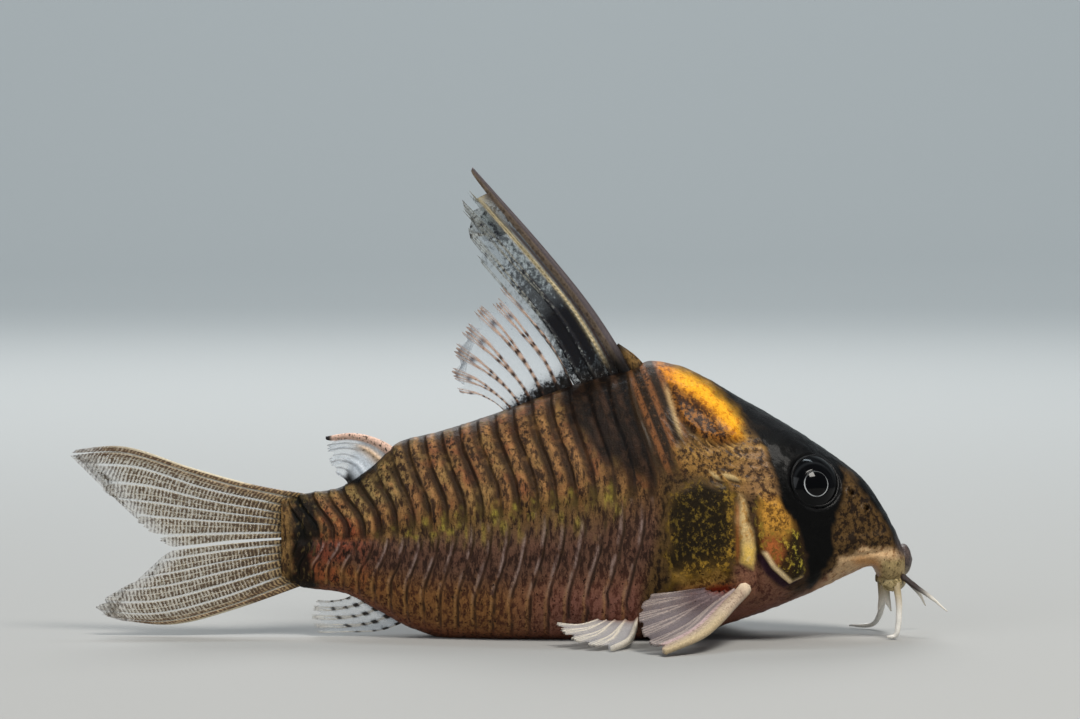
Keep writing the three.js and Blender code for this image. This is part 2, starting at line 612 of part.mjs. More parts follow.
const fish = new THREE.Group();
fish.add(
  meshOf('head', headSolid(), MATERIALS.skin),
  meshOf('torso', torsoSolid(), MATERIALS.skin),
  meshOf('tail_stalk', bodyLength(stalkRing, RINGS.length - 1), MATERIALS.skin),
);
for (const [name, side] of [['left', 1], ['right', -1]]) {
  fish.add(
    meshOf(`eye_${name}`, sphereAt(EYE.x, side * EYE.y, EYE.z, EYE.radius), MATERIALS.eye),
  );
}
const spinelet = taperedTube(splineThrough(SPINELET), SPINELET_RADII, 4, 8);
fish.add(
  meshOf(
    'fin_dorsal_front',
    finSolid(DORSAL_FRONT, 9).add(spinelet).subtract(clearance),
    MATERIALS.fin,
  ),
);
for (const [name, rays, rows] of [
  ['fin_dorsal_rear', DORSAL_REAR, 6],
  ['fin_adipose', ADIPOSE, 5],
  ['fin_anal', ANAL, 6],
  ['fin_caudal_upper', CAUDAL_UPPER, 9],
  ['fin_caudal_lower', CAUDAL_LOWER, 9],
]) {
  fish.add(meshOf(name, finSolid(rays, rows).subtract(clearance), MATERIALS.fin));
}
for (const [name, side] of [['left', 1], ['right', -1]]) {
  for (const [fin, rays, rows] of [['fin_pectoral', PECTORAL, 8], ['fin_pelvic', PELVIC, 6]]) {
    const turned = rays.map((ray) => ({ ...ray, points: sideOf(ray.points, -side) }));
    fish.add(meshOf(`${fin}_${name}`, finSolid(turned, rows).subtract(clearance), MATERIALS.fin));
  }
  for (const [barbel, { radii, ...routes }] of Object.entries(BARBELS)) {
    const tube = taperedTube(splineThrough(routes[name]), radii, barbel === 'chin' ? 5 : 9);
    fish.add(meshOf(`barbel_${barbel}_${name}`, tube.subtract(clearance), MATERIALS.barbel));
  }
}

export default fish;
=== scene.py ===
"""A corydoras catfish at rest on its belly, dressed over its solids.

+X is the snout, +Y the fish's left and +Z up. Shapes are worked out in millimetres, as the solids
are, and put into the meshes in metres.
"""

import math
from itertools import product

import bmesh
import bpy
import numpy as np
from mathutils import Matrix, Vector


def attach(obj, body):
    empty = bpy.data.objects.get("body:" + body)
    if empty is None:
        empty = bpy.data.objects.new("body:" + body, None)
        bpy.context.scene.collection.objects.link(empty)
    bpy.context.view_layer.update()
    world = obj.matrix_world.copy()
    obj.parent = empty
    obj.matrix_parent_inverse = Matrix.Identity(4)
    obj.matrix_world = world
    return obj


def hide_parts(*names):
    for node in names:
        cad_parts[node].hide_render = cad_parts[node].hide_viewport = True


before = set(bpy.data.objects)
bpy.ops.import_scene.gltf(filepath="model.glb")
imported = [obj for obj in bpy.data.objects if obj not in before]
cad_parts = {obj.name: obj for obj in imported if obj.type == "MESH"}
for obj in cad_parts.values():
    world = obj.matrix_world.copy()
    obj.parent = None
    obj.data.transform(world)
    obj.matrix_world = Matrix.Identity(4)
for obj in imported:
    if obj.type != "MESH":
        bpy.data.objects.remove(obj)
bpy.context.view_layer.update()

MM = 0.001
SIDES = {"left": 1, "right": -1}

# Body sizes, as in the solids
SNOUT_X = 36.0
GILL_X = 21.5
ARMOUR_X = 13.4
BODY_END_X = -20.3
SCUTES = 21
SCUTE_STEP = 0.34
SCUTE_DROP = 0.14
EYE = Vector((27.5, 4.2, 14.4))

TOP = [
    (-20.3, 12.2), (-18.2, 12.9), (-15.5, 13.3), (-12.2, 15.3), (-9.6, 17.6), (-6.5, 18.4),
    (-3.8, 19.2), (0, 20.5), (6, 22.7), (11.3, 24.2), (13, 24.9), (15, 24.6), (21, 21.6),
    (28.2, 17.2), (32, 14.3), (34.1, 11.3), (35.1, 9.2), (35.6, 8.2), (36, 7.2),
]
BOTTOM = [
    (-20.3, 5.2), (-18.2, 4.4), (-15, 4.0), (-11.5, 2.3), (-8.5, 0.7), (-5, -0.25), (0, -0.35),
    (11, -0.35), (15.5, -0.05), (20, 1.3), (24, 2.7), (28, 4.35), (31, 5.8), (32.8, 6.4),
    (33.6, 5.2), (34.3, 4.6), (35.2, 4.6), (35.7, 5.2), (36, 6.3),
]
FLANK = [
    (-20.3, 8.8), (-15, 8.9), (-9.6, 9.3), (-4, 10.4), (1.2, 11.3), (5.7, 12.1), (13.4, 13.0),
    (20, 10.6), (26, 9.4), (32, 8.6), (36, 6.9),
]
HALF_WIDTH = [
    (-20.3, 0.45), (-18.6, 1.35), (-15, 2.3), (-10, 3.6), (-5, 5.0), (0, 6.2), (5, 7.1),
    (10, 7.6), (16, 7.8), (21, 7.6), (25, 7.0), (28.5, 6.0), (31, 5.0), (33, 4.1),
    (34.6, 3.4), (35.4, 2.6), (35.8, 1.7), (36, 0.9),
]
ROOF = [(-20.3, 2.0), (0, 1.85), (13, 1.7), (21, 2.0), (27, 2.8), (31, 2.6), (36, 2.3)]
KEEL = [(-20.3, 2.0), (-8, 2.1), (0, 2.7), (20, 2.8), (30, 2.5), (36, 2.3)]
TOP_LEAN = [(-20.3, 0), (-17, -1.9), (13.4, -2.4), (21.5, -9), (30, -1), (36, 0)]
BELLY_LEAN = [(-20.3, 0), (-17, -1.2), (13.4, -1.6), (21.5, 0.5), (30, 0.3), (36, 0)]

# Outlines on the flank and head in side view, as (x, z)
NAPE_PLATE = [
    (14.6, 23.3), (16.2, 22.6), (18.2, 21.2), (20.2, 19.4), (21.0, 18.2), (19.4, 17.9),
    (17.4, 18.4), (15.9, 19.6), (14.9, 21.4),
]
# Gold band of the nape, its own gold with a painted highlight on it
NAPE_GOLD_HIGHLIGHT = [
    (13.6, 24.9), (14.9, 24.3), (17.4, 23.0), (19.4, 21.2), (20.8, 19.6), (20.8, 18.3),
    (20.0, 18.5), (18.5, 20.3), (16.5, 21.9), (14.5, 23.2),
]
GILL_COVER = [
    (22.4, 13.2), (24.1, 12.6), (25.8, 10.2), (26.5, 7.8), (26.4, 6.0), (25.2, 5.4),
    (23.6, 6.8), (22.4, 8.7), (22.1, 11.2),
]
GILL_GOLD = [(22.6, 13.4), (24.6, 12.9), (25.8, 10.6), (24.8, 9.4), (22.6, 10.2)]
GILL_COPPER = [(22.7, 9.3), (23.9, 9.5), (24.6, 8.4), (24.1, 7.4), (23.1, 8.0)]
SHOULDER_PLATE = [
    (14.6, 13.2), (17.2, 14.6), (19.6, 14.1), (20.6, 11.4), (20.9, 8.2), (20.0, 6.6),
    (16.8, 5.9), (14.6, 5.0), (14.2, 8.8),
]
COLLAR_BAR = [
    (20.7, 13.3), (21.2, 12.4), (21.6, 10.4), (22.0, 8.4), (21.9, 7.0), (21.0, 7.1),
    (20.8, 9.0), (20.7, 11.0),
]
CHEEK = [
    (14.9, 17.6), (17.4, 18.4), (20.6, 18.5), (22.8, 17.8), (23.9, 15.3), (23.9, 13.1),
    (22.5, 12.8), (20.6, 13.6), (17.4, 15.1), (15.3, 15.6),
]
EYE_MASK = [
    (21.6, 19.6), (23.7, 18.7), (26.4, 18.6), (29.6, 16.9), (30.2, 14.9), (29.9, 12.6),
    (29.3, 10.4), (29.1, 7.7), (28.1, 5.8), (27.1, 4.6), (26.6, 5.2), (26.7, 7.7),
    (25.9, 10.1), (24.4, 12.6), (23.8, 14.9), (23.0, 17.2),
]
CROWN = [
    (13.4, 26), (40, 26), (36.6, 8.2), (35.0, 8.4), (33.4, 11.2), (31.6, 13.8), (29.6, 15.9),
    (26.4, 17.3), (23.4, 18.4), (21.4, 19.7), (19.7, 21.3), (17.4, 23.1), (14.9, 24.5),
]
JAW_EDGE = [
    (29.6, 7.5), (31.8, 8.4), (35.0, 8.0), (35.9, 7.4), (34.5, 7.0), (32.0, 6.6), (30.5, 5.9),
    (28.7, 4.9),
]
THROAT = [
    (36.4, 4.2), (35.6, 6.6), (33.6, 7.2), (32.2, 7.2), (29.8, 6.4), (26.4, 4.2), (22.8, 3.3),
    (20.5, 3.4), (17.4, 2.2), (16.4, -1), (36.4, -1),
]
FLESHY_PATCH = [(20.4, 7.0), (22.2, 7.2), (23.4, 5.8), (25.4, 4.6), (24, 2.4), (20, 2.6)]
ARMPIT = [(16.2, 4.3), (17.9, 5.3), (20.1, 5.4), (20.9, 4.5), (18.5, 3.6), (16.4, 3.6)]
SADDLE = [
    (3.4, 24), (13.4, 27), (14.6, 23.4), (15.6, 19.4), (15.4, 15.2), (12.6, 14.2), (10.0, 15.4),
    (7.6, 17.2), (5.6, 19.4),
]
BACK_WEDGE = [(-15.6, 13.0), (-14.6, 14.4), (-11.8, 16.6), (-11.0, 16.2), (-13.0, 13.9)]
TAIL_BAR = [
    (-19.6, 12.6), (-18.4, 12.9), (-17.3, 12.3), (-16.9, 9.9), (-17.3, 7.2), (-17.0, 4.2),
    (-18.6, 4.0), (-19.8, 5.0), (-19.4, 7.2), (-19.4, 9.9),
]


def light_of(colour):
    """Linear light of a colour given as display values of 0 to 255."""
    values = np.array(colour) / 255
    return np.where(values <= 0.04045, values / 12.92, ((values + 0.055) / 1.055) ** 2.4)


COPPER = (134, 94, 60)
SEAM = (26, 17, 13)
UMBER = (44, 31, 22)
JET = (9, 9, 10)
RUST = (140, 62, 38)
LILAC = (150, 130, 122)
BELLY_BROWN = (116, 70, 50)
CREAM = (226, 198, 138)
BEIGE = (164, 148, 116)
MILK = (214, 208, 196)


def through(pairs):
    """Smooth curve through (x, value) pairs that never overshoots them."""
    xs, values = np.array(pairs, float).T
    steps = np.diff(xs)
    slopes = np.diff(values) / steps
    before, after = slopes[:-1], slopes[1:]
    same_way = before * after > 0
    inner = np.zeros_like(before)
    inner[same_way] = (2 * before * after)[same_way] / (before + after)[same_way]
    tangents = np.concatenate((slopes[:1], inner, slopes[-1:]))

    def curve(x):
        x = np.asarray(x, float)
        i = np.clip(np.searchsorted(xs, x, side="right") - 1, 0, len(xs) - 2)
        t = np.clip((x - xs[i]) / steps[i], 0, 1)
        t2, t3 = t * t, t * t * t
        return (
            (2 * t3 - 3 * t2 + 1) * values[i]
            + (t3 - 2 * t2 + t) * steps[i] * tangents[i]
            + (3 * t2 - 2 * t3) * values[i + 1]
            + (t3 - t2) * steps[i] * tangents[i + 1]
        )

    return curve


top_at, bottom_at, flank_at, half_width_at = map(through, (TOP, BOTTOM, FLANK, HALF_WIDTH))
roof_at, keel_at, top_lean_at, belly_lean_at = map(through, (ROOF, KEEL, TOP_LEAN, BELLY_LEAN))


def ease(value, start, end):
    """0 at start and 1 at end, with a smooth rise between; start may be the greater one."""
    t = np.clip((value - start) / (end - start), 0, 1)
    return t * t * (3 - 2 * t)


def span(value, start, full, waning, end):
    """1 between full and waning, with a smooth rise from start and a smooth fall to end."""
    return ease(value, start, full) * ease(value, end, waning)


def near(value, middle, reach):
    """1 at the middle, falling smoothly to 0 at that reach."""
    return ease(np.abs(value - middle), reach, 0)


def grain(points, size, seed=0):
    """Smooth noise from -1 to 1 over points in millimetres, in lumps of that size."""
    place = np.asarray(points) / size + seed * 17.31
    cell = np.floor(place).astype(np.int64)
    part = place - cell
    part = part * part * (3 - 2 * part)
    total = 0
    for corner in product((0, 1), repeat=3):
        key = cell + np.array(corner)
        mixed = key[..., 0] * 73856093 ^ key[..., 1] * 19349663 ^ key[..., 2] * 83492791
        mixed = (mixed ^ (mixed >> 13)) * 1274126177 & 0x7FFFFFFF
        mixed = (mixed ^ (mixed >> 16)) & 0xFFFF
        weight = np.prod(np.where(corner, part, 1 - part), axis=-1)
        total = total + weight * mixed / 0xFFFF
    return total * 2 - 1


def mottle(points, size, seed=0):
    """Noise in three sizes, the smallest a quarter of the given one."""
    coarse = grain(points, size, seed)
    middle = grain(points, size / 2, seed + 1)
    return (coarse + 0.6 * middle + 0.4 * grain(points, size / 4, seed + 2)) / 1.4


def inside(outline, x, z, soft):
    """1 within the outline in side view, fading to 0 over that width about its edge."""
    corners = np.array(outline, float)
    distance = np.full(np.shape(x), 1e9)
    within = np.zeros(np.shape(x), bool)
    for (ax, az), (bx, bz) in zip(corners, np.roll(corners, -1, axis=0)):
        length = (bx - ax) ** 2 + (bz - az) ** 2
        t = np.clip(((x - ax) * (bx - ax) + (z - az) * (bz - az)) / length, 0, 1)
        reach = np.hypot(x - ax - t * (bx - ax), z - az - t * (bz - az))
        distance = np.minimum(distance, reach)
        crosses = (az > z) != (bz > z)
        within ^= crosses & (x < (bx - ax) * (z - az) / (bz - az + 1e-12) + ax)
    signed = np.where(within, distance, -distance)
    return ease(signed, -soft / 2, soft / 2)


def blend(under, over, amount):
    """Colours with another laid over them, as strongly as amount says."""
    amount = np.clip(amount, 0, 1)[..., None]
    return under * (1 - amount) + over * amount


class Coat:
    """Paint of a surface: a ground with alpha, flecks over it and dark ink dots over both.

    Colours are display values of 0 to 255. Share and ink are how much of the surface the flecks
    and the ink dots cover.
    """

    def __init__(self, points, colour, alpha=1.0, fleck=None, share=0.0, ink=0.0):
        shape = points.shape[:2]
        self.ground = np.zeros(shape + (3,))
        self.alpha = np.broadcast_to(alpha, shape)
        self.fleck = np.zeros(shape + (3,))
        self.share = np.zeros(shape)
        self.ink = np.zeros(shape)
        self.lay(colour, 1, (0, 0, 0) if fleck is None else fleck, share, ink)

    def lay(self, colour, amount, fleck=None, share=0.0, ink=0.0):
        """Cover the ground by amount, flecks and ink with it; colour may be a field of light."""
        amount = np.clip(np.broadcast_to(amount, self.share.shape), 0, 1)
        colour = light_of(colour) if isinstance(colour, tuple) else colour
        self.ground = blend(self.ground, colour, amount)
        self.fleck = blend(self.fleck, colour if fleck is None else light_of(fleck), amount)
        self.share = self.share * (1 - amount) + share * amount
        self.ink = self.ink * (1 - amount) + ink * amount

    def layers(self):
        """The colour attributes that hold the paint, by name."""
        return {
            "tint": np.concatenate((self.ground, self.alpha[..., None]), axis=-1),
            "fleck": np.concatenate((self.fleck, self.share[..., None]), axis=-1),
            "ink": np.repeat(self.ink[..., None], 4, axis=-1),
        }


# Meshes: a grid of the needed fineness, each of its points then moved to its place


def grid_piece(name, places, coat, material, run=None):
    """Closed piece from rows by columns of places in millimetres, painted with the coat.

    It is a tube whose last column meets its first, with filled ends. Run holds, for each place,
    how far along a fin ray it lies.
    """
    layers = coat.layers()
    if run is not None:
        layers["run"] = np.repeat(run[..., None], 4, axis=-1)
    places = np.concatenate((places, places[:, :1]), axis=1)
    layers = {key: np.concatenate((value, value[:, :1]), 1) for key, value in layers.items()}
    rows, columns = places.shape[:2]
    bm = bmesh.new()
    bmesh.ops.create_grid(bm, x_segments=columns - 1, y_segments=rows - 1, size=1)
    slots = {bm.verts.layers.float_color.new(key): value for key, value in layers.items()}
    for vertex in bm.verts:
        column = round((vertex.co.x + 1) / 2 * (columns - 1))
        row = round((vertex.co.y + 1) / 2 * (rows - 1))
        vertex.co = places[row, column] * MM
        for slot, value in slots.items():
            vertex[slot] = value[row, column]
    bmesh.ops.remove_doubles(bm, verts=bm.verts, dist=0.002 * MM)
    ends = [edge for edge in bm.edges if edge.is_boundary]
    bmesh.ops.holes_fill(bm, edges=ends, sides=0)
    caps = [face for face in bm.faces if len(face.verts) > 4]
    bmesh.ops.triangulate(bm, faces=caps)
    bmesh.ops.recalc_face_normals(bm, faces=bm.faces)
    return finish_piece(name, bm, material)


def finish_piece(name, bm, material):
    """Smooth object of that mesh and material."""
    for face in bm.faces:
        face.smooth = True
    mesh = bpy.data.meshes.new(name)
    bm.to_mesh(mesh)
    bm.free()
    mesh.materials.append(material)
    piece = bpy.data.objects.new(name, mesh)
    bpy.context.collection.objects.link(piece)
    return piece


def belongs(piece, slot, *nodes):
    """The piece moves with the fish and stands for those solids; slot is not used."""
    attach(piece, "root")
    if nodes:
        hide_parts(*nodes)
    return piece


# Materials


class Finish:
    """A material in the making, with the few kinds of node that this fish's finishes need."""

    def __init__(self, name, roughness, coat=0.0, gleam=0.5):
        self.material = bpy.data.materials.new(name)
        self.material.use_nodes = True
        self.nodes = self.material.node_tree.nodes
        self.links = self.material.node_tree.links
        self.surface = self.nodes["Principled BSDF"]
        self.surface.inputs["Roughness"].default_value = roughness
        self.surface.inputs["Specular IOR Level"].default_value = gleam
        self.surface.inputs["Coat Weight"].default_value = coat
        self.surface.inputs["Coat Roughness"].default_value = 0.14
        self.place = self.nodes.new("ShaderNodeTexCoord").outputs["Object"]

    def put(self, socket, value):
        """Link a value to a socket, or set it there."""
        if isinstance(value, bpy.types.NodeSocket):
            self.links.new(value, socket)
        else:
            socket.default_value = value

    def attribute(self, name):
        """Node that reads a colour attribute of the mesh."""
        node = self.nodes.new("ShaderNodeAttribute")
        node.attribute_name = name
        return node

    def stretched(self, x, y, z):
        """Object coordinates drawn out along an axis where the number is under 1."""
        node = self.nodes.new("ShaderNodeMapping")
        node.inputs["Scale"].default_value = (x, y, z)
        self.put(node.inputs["Vector"], self.place)
        return node.outputs["Vector"]

    def noise(self, size, detail, place=None, harsh=0.6):
        """Noise with lumps of that size in millimetres."""
        node = self.nodes.new("ShaderNodeTexNoise")
        node.inputs["Scale"].default_value = 1 / (size * MM)
        node.inputs["Detail"].default_value = detail
        node.inputs["Roughness"].default_value = harsh
        self.put(node.inputs["Vector"], self.place if place is None else place)
        return node.outputs["Fac"]

    def maths(self, kind, first, second):
        """One step of arithmetic on two values."""
        node = self.nodes.new("ShaderNodeMath")
        node.operation = kind
        self.put(node.inputs[0], first)
        self.put(node.inputs[1], second)
        return node.outputs["Value"]

    def spread(self, value, low, high, to_low=0.0, to_high=1.0):
        """A value's stretch from low to high, spread over another and held at its ends."""
        node = self.nodes.new("ShaderNodeMapRange")
        for key, number in zip(("From Min", "From Max", "To Min", "To Max"),
                               (low, high, to_low, to_high)):
            node.inputs[key].default_value = number
        self.put(node.inputs["Value"], value)
        return node.outputs["Result"]

    def mix(self, amount, under, over):
        """One colour laid over another."""
        node = self.nodes.new("ShaderNodeMix")
        node.data_type = "RGBA"
        self.put(node.inputs["Factor"], amount)
        self.put(node.inputs["A"], under)
        self.put(node.inputs["B"], over)
        return node.outputs["Result"]

    def covered(self, pattern, share, edge):
        """1 over that share of a pattern whose values run about from 0.25 to 0.75."""
        level = self.spread(share, 0, 1, 0.76, 0.24)
        return self.spread(self.maths("SUBTRACT", pattern, level), -edge, edge)

    def relief(self, height, distance, strength=0.6):
        """Fine relief of the surface, that many millimetres deep."""
        node = self.nodes.new("ShaderNodeBump")
        node.inputs["Strength"].default_value = strength
        node.inputs["Distance"].default_value = distance * MM
        self.put(node.inputs["Height"], height)
        self.put(self.surface.inputs["Normal"], node.outputs["Normal"])


def rounder_ahead(finish, flecks, size):
    """Flecks that turn into rounder ones of that size over the shoulder."""
    split = finish.nodes.new("ShaderNodeSeparateXYZ")
    finish.put(split.inputs[0], finish.place)
    head = finish.spread(split.outputs["X"], 13 * MM, 16 * MM)
    rounder = finish.noise(size, 5, finish.stretched(1, 1, 0.85), harsh=0.72)
    change = finish.maths("MULTIPLY", finish.maths("SUBTRACT", rounder, flecks), head)
    return finish.maths("ADD", flecks, change)


def broken_rungs(finish, pitch):
    """Wavering bars across the fin rays, broken up by a fine noise."""
    turn = finish.maths("MULTIPLY", finish.attribute("run").outputs["Fac"], 2 * math.pi / pitch)
    wobble = finish.spread(finish.noise(1.1, 3), 0.3, 0.7, -1.4, 1.4)
    bars = finish.maths("SINE", finish.maths("ADD", turn, wobble), 0.0)
    level = finish.maths("ADD", finish.spread(bars, -1, 1, 0.36, 0.64), -0.5)
    return finish.maths("ADD", level, finish.noise(0.3, 2, harsh=0.5))


def painted(name, roughness, coat=0.0, gleam=0.2, fleck_size=0.9, tall=0.6, head_flecks=0.0,
            bump=0.1, grainy=0.25, clear=0.0, rungs=0.0):
    """Wet finish that shows a coat of paint: ground, flecks, ink dots and fine grain.

    Tall under 1 draws the flecks out upwards, and head_flecks is the size of the rounder ones
    on the head. Clear is how much more solid flecks are than the see-through ground. Rungs is
    the pitch of the bars across fin rays that take the place of flecks.
    """
    finish = Finish(name, roughness, coat, gleam)
    ground, fleck, ink = (finish.attribute(key) for key in ("tint", "fleck", "ink"))
    if rungs:
        pattern = broken_rungs(finish, rungs)
    else:
        pattern = finish.noise(fleck_size, 5, finish.stretched(1, 1, tall), harsh=0.7)
    if head_flecks:
        pattern = rounder_ahead(finish, pattern, head_flecks)
    flecks = finish.covered(pattern, fleck.outputs["Alpha"], 0.055)
    dots = finish.covered(finish.noise(0.26, 2, finish.stretched(1, 1, 0.7)),
                          ink.outputs["Fac"], 0.02)
    colour = finish.mix(flecks, ground.outputs["Color"], fleck.outputs["Color"])
    colour = finish.mix(finish.maths("MULTIPLY", dots, 0.88), colour, (0.006, 0.004, 0.003, 1))
    fine = finish.noise(0.16, 4)
    scaled = finish.nodes.new("ShaderNodeVectorMath")
    scaled.operation = "SCALE"
    finish.put(scaled.inputs[0], colour)
    finish.put(scaled.inputs["Scale"], finish.spread(fine, 0.3, 0.7, 1 - grainy, 1 + grainy))
    finish.put(finish.surface.inputs["Base Color"], scaled.outputs["Vector"])
    finish.put(finish.surface.inputs["Roughness"],
               finish.spread(pattern, 0.3, 0.7, roughness - 0.1, roughness + 0.1))
    if bump:
        finish.relief(finish.maths("ADD", fine, pattern), bump)
    if clear:
        solid = finish.spread(finish.maths("MAXIMUM", flecks, dots), 0, 1, 1, 1 + clear)
        shown = finish.maths("MULTIPLY", ground.outputs["Alpha"], solid)
        finish.put(finish.surface.inputs["Alpha"], finish.maths("MINIMUM", shown, 1.0))
    return finish.material


SKIN = painted("armoured_skin", 0.42, coat=0.04, gleam=0.07, fleck_size=0.37, tall=0.32,
               head_flecks=0.5)
HEAD_SKIN = painted("lip_skin", 0.4, coat=0.06, gleam=0.15, fleck_size=0.4, tall=1)
FIN_WEB = painted("fin_web", 0.45, fleck_size=0.34, tall=0.8, bump=0.03, clear=2.2)
TAIL_WEB = painted("tail_web", 0.45, bump=0.03, clear=1.3, rungs=0.34)
BARBEL_SKIN = painted("barbel_skin", 0.35, coat=0.2, bump=0.04, grainy=0.1)
EYE_GLOSS = painted("eye_gloss", 0.1, gleam=0.16, bump=0, grainy=0.1)


# Body


def section(x, above):
    """How square and how high the body is at x, above or below its widest line."""
    power = np.where(above, roof_at(x), keel_at(x))
    height = np.where(above, top_at(x) - flank_at(x), flank_at(x) - bottom_at(x))
    return power, height


def body_point(x, angle, lift=0.0):
    """Points of the body at x and angle, 0 at the back and pi at the belly, raised by lift."""
    s, c = np.sin(angle), np.cos(angle)
    power, height = section(x, c >= 0)
    half = half_width_at(x)
    out_y = np.sign(s) * np.abs(s) ** (2 - 2 / power) / half
    out_z = np.sign(c) * np.abs(c) ** (2 - 2 / power) / height
    length = np.hypot(out_y, out_z)
    y = half * np.sign(s) * np.abs(s) ** (2 / power) + lift * out_y / length
    z = flank_at(x) + height * np.sign(c) * np.abs(c) ** (2 / power) + lift * out_z / length
    return np.stack(np.broadcast_arrays(x, y, z), axis=-1)


def lean(x, angle):
    """How far along x a ring that crosses the lateral line at x has moved at another angle."""
    c = np.cos(angle)
    top = top_lean_at(x) * ease(c, 0.15, 1)
    belly = belly_lean_at(x) * ease(-c, 0, 0.6)
    return np.where(c >= 0, top, belly)


def leaned_front(x, angle):
    """About where the ring through each point crosses the lateral line."""
    lateral = x
    for _ in range(8):
        lateral = x - lean(lateral, angle)
    return lateral


def flank_y(x, z):
    """Half the body's width at x and height z."""
    power, height = section(x, z >= flank_at(x))
    rise = np.clip(np.abs(z - flank_at(x)) / height, 0, 0.995)
    return half_width_at(x) * (1 - rise**power) ** (1 / power)


def plate_x(q):
    """Lateral x of plate number q: plates get shorter towards the tail."""
    t = q / SCUTES
    return ARMOUR_X - (ARMOUR_X - BODY_END_X - 0.9) * (t * 1.16 - 0.16 * t * t)


def skin_rows():
    """Lateral x and plate number of each ring; the number is negative before the armour."""
    head = SNOUT_X - (SNOUT_X - GILL_X) * np.linspace(0, 1, 124) ** 1.25
    shoulder = np.linspace(GILL_X, ARMOUR_X, 56)[1:-1]
    steps = np.array((0, 0.035, 0.07, 0.11, 0.15, 0.22, 0.3, 0.4))
    q = (np.arange(2 * SCUTES)[:, None] / 2 + steps).ravel()
    end = np.linspace(plate_x(SCUTES), BODY_END_X, 8)
    x = np.concatenate((head, shoulder, plate_x(q), end))
    before = np.full(head.size + shoulder.size, -1.0)
    return x, np.concatenate((before, q, np.full(end.size, SCUTES)))


def plate_part(q, angle, wave=0.0):
    """How far along its plate each point lies, 0 at the plate's front and 1 at its free edge."""
    return (q + wave + np.where(angle < math.pi / 2, 0, 0.5)) % 1


def armour_shape(q, angle, points):
    """Height of the scutes: each rises to its free rear edge and drops to the next."""
    part = plate_part(q, angle, 0.05 * grain(points, 1.4, 3))
    drop = 1 - part / SCUTE_DROP
    ramp = np.where(part < SCUTE_DROP, drop, (part - SCUTE_DROP) / (1 - SCUTE_DROP))
    lateral = ease(np.abs(angle - math.pi / 2), 0.02, 0.14)
    spans = span(angle, 0.05, 0.3, 2.4, 2.9)
    worn = 0.8 + 0.25 * grain(points, 2.3, 5)
    flat_front = 0.45 + 0.55 * ease(q, 1.5, 4)
    return SCUTE_STEP * ramp * lateral * spans * worn * flat_front * (q >= 0)


def bony_ribs(x, z):
    """Waves of the ribs of bone that run back over the cheek."""
    return np.sin((z - 0.14 * x + 0.25 * np.sin(x * 0.9)) * 2 * math.pi / 0.95)


def cheek_slot(x, z):
    """1 along the slot that runs back over the cheek."""
    return near(z, 14.55 - 0.12 * (x - 19.5), 0.26) * near(x, 19.6, 1.9)


def slot_bone(x, z, width):
    """1 along the thin pale bone above that slot."""
    return near(z, 15.0 - 0.12 * (x - 19.5), width) * near(x, 19.4, 2.1)


def nape_furrow(x, z):
    """1 along the furrow under the nape plate."""
    return near(z, 17.75 + 0.04 * (x - 18), 0.3) * span(x, 15.8, 17, 20, 21.5)


def head_shape(x, z, points):
    """Height of the bony plates, seams and folds of the head and shoulder."""
    lift = 0.42 * inside(GILL_COVER, x, z, 0.35)
    lift += 0.34 * inside(NAPE_PLATE, x, z, 0.4)
    lift += 0.3 * inside(SHOULDER_PLATE, x + 0.3 * grain(points, 1.6, 8), z, 1.0)
    lift += 0.3 * inside(COLLAR_BAR, x, z, 0.5)
    lift += 0.1 * inside(CHEEK, x, z, 0.5)
    lift += 0.07 * inside(CHEEK, x, z, 1.2) * bony_ribs(x, z) * ease(grain(points, 2, 6), -0.6, 0.4)
    lift -= 0.4 * cheek_slot(x, z)
    lift += 0.2 * slot_bone(x, z, 0.3)
    lift -= 0.34 * nape_furrow(x, z)
    # the seam behind the gill cover
    seam_x = 22.0 + 0.35 * np.cos((z - 8) / 4) + 0.02 * (z - 8) ** 2
    lift -= 0.34 * near(x, seam_x, 0.42) * span(z, 3.2, 5, 11.5, 13.2)
    # cheekbone below the eye, and folds above the upper lip and at the corner of the mouth
    lift += 0.22 * near(z, 8.9 + 0.1 * (x - 30), 0.8) * ease(x, 28.8, 30.2)
    lift -= 0.16 * near(z, 7.6 + 0.12 * (x - 31), 0.4) * ease(x, 29.4, 31)
    lift -= 0.14 * near(x, 33.9 + 0.12 * (z - 6), 0.3) * ease(z, 7.6, 6.8)
    lift += 0.07 * mottle(points, 0.9, 5) * ease(x, 13, 16)
    return lift


def flank_slope(x, z):
    """Outward direction of the left flank at x and height z."""
    step = 0.05
    along = (flank_y(x + step, z) - flank_y(x - step, z)) / (2 * step)
    up = (flank_y(x, z + step) - flank_y(x, z - step)) / (2 * step)
    outward = np.array((-along, 1.0, -up))
    return outward / np.linalg.norm(outward)


class EyeSeat:
    """Where an eyeball sits in the skin: it leans with the skin and stands proud of it.

    Ball and opening are the radii of the ball and of the hole in the skin.
    """

    ball = 3.2
    proud = 0.88
    opening = 2.2

    def __init__(self, side):
        turn = np.array((1, side, 1))
        self.outward = flank_slope(EYE.x, EYE.z) * turn
        self.middle = np.array((EYE.x, flank_y(EYE.x, EYE.z) - 0.12, EYE.z)) * turn
        self.centre = self.middle + self.outward * (self.proud - self.ball)

    def press(self, points):
        """Draw the skin in under the rim of the ball."""
        away = points - self.middle
        height = away @ self.outward
        radial = np.linalg.norm(away - height[..., None] * self.outward, axis=-1)
        far_side = height < -3
        radial = np.where(far_side, 9, radial)
        dome = np.sqrt(self.ball**2 - np.minimum(radial, 2.8) ** 2)
        wanted = np.minimum(height, self.proud - self.ball + dome - 0.3)
        amount = ease(radial, self.opening + 0.3, self.opening - 0.02)
        moved = (wanted - height) * amount + 0.12 * near(radial, self.opening + 0.5, 0.4)
        points += moved[..., None] * self.outward
        return radial


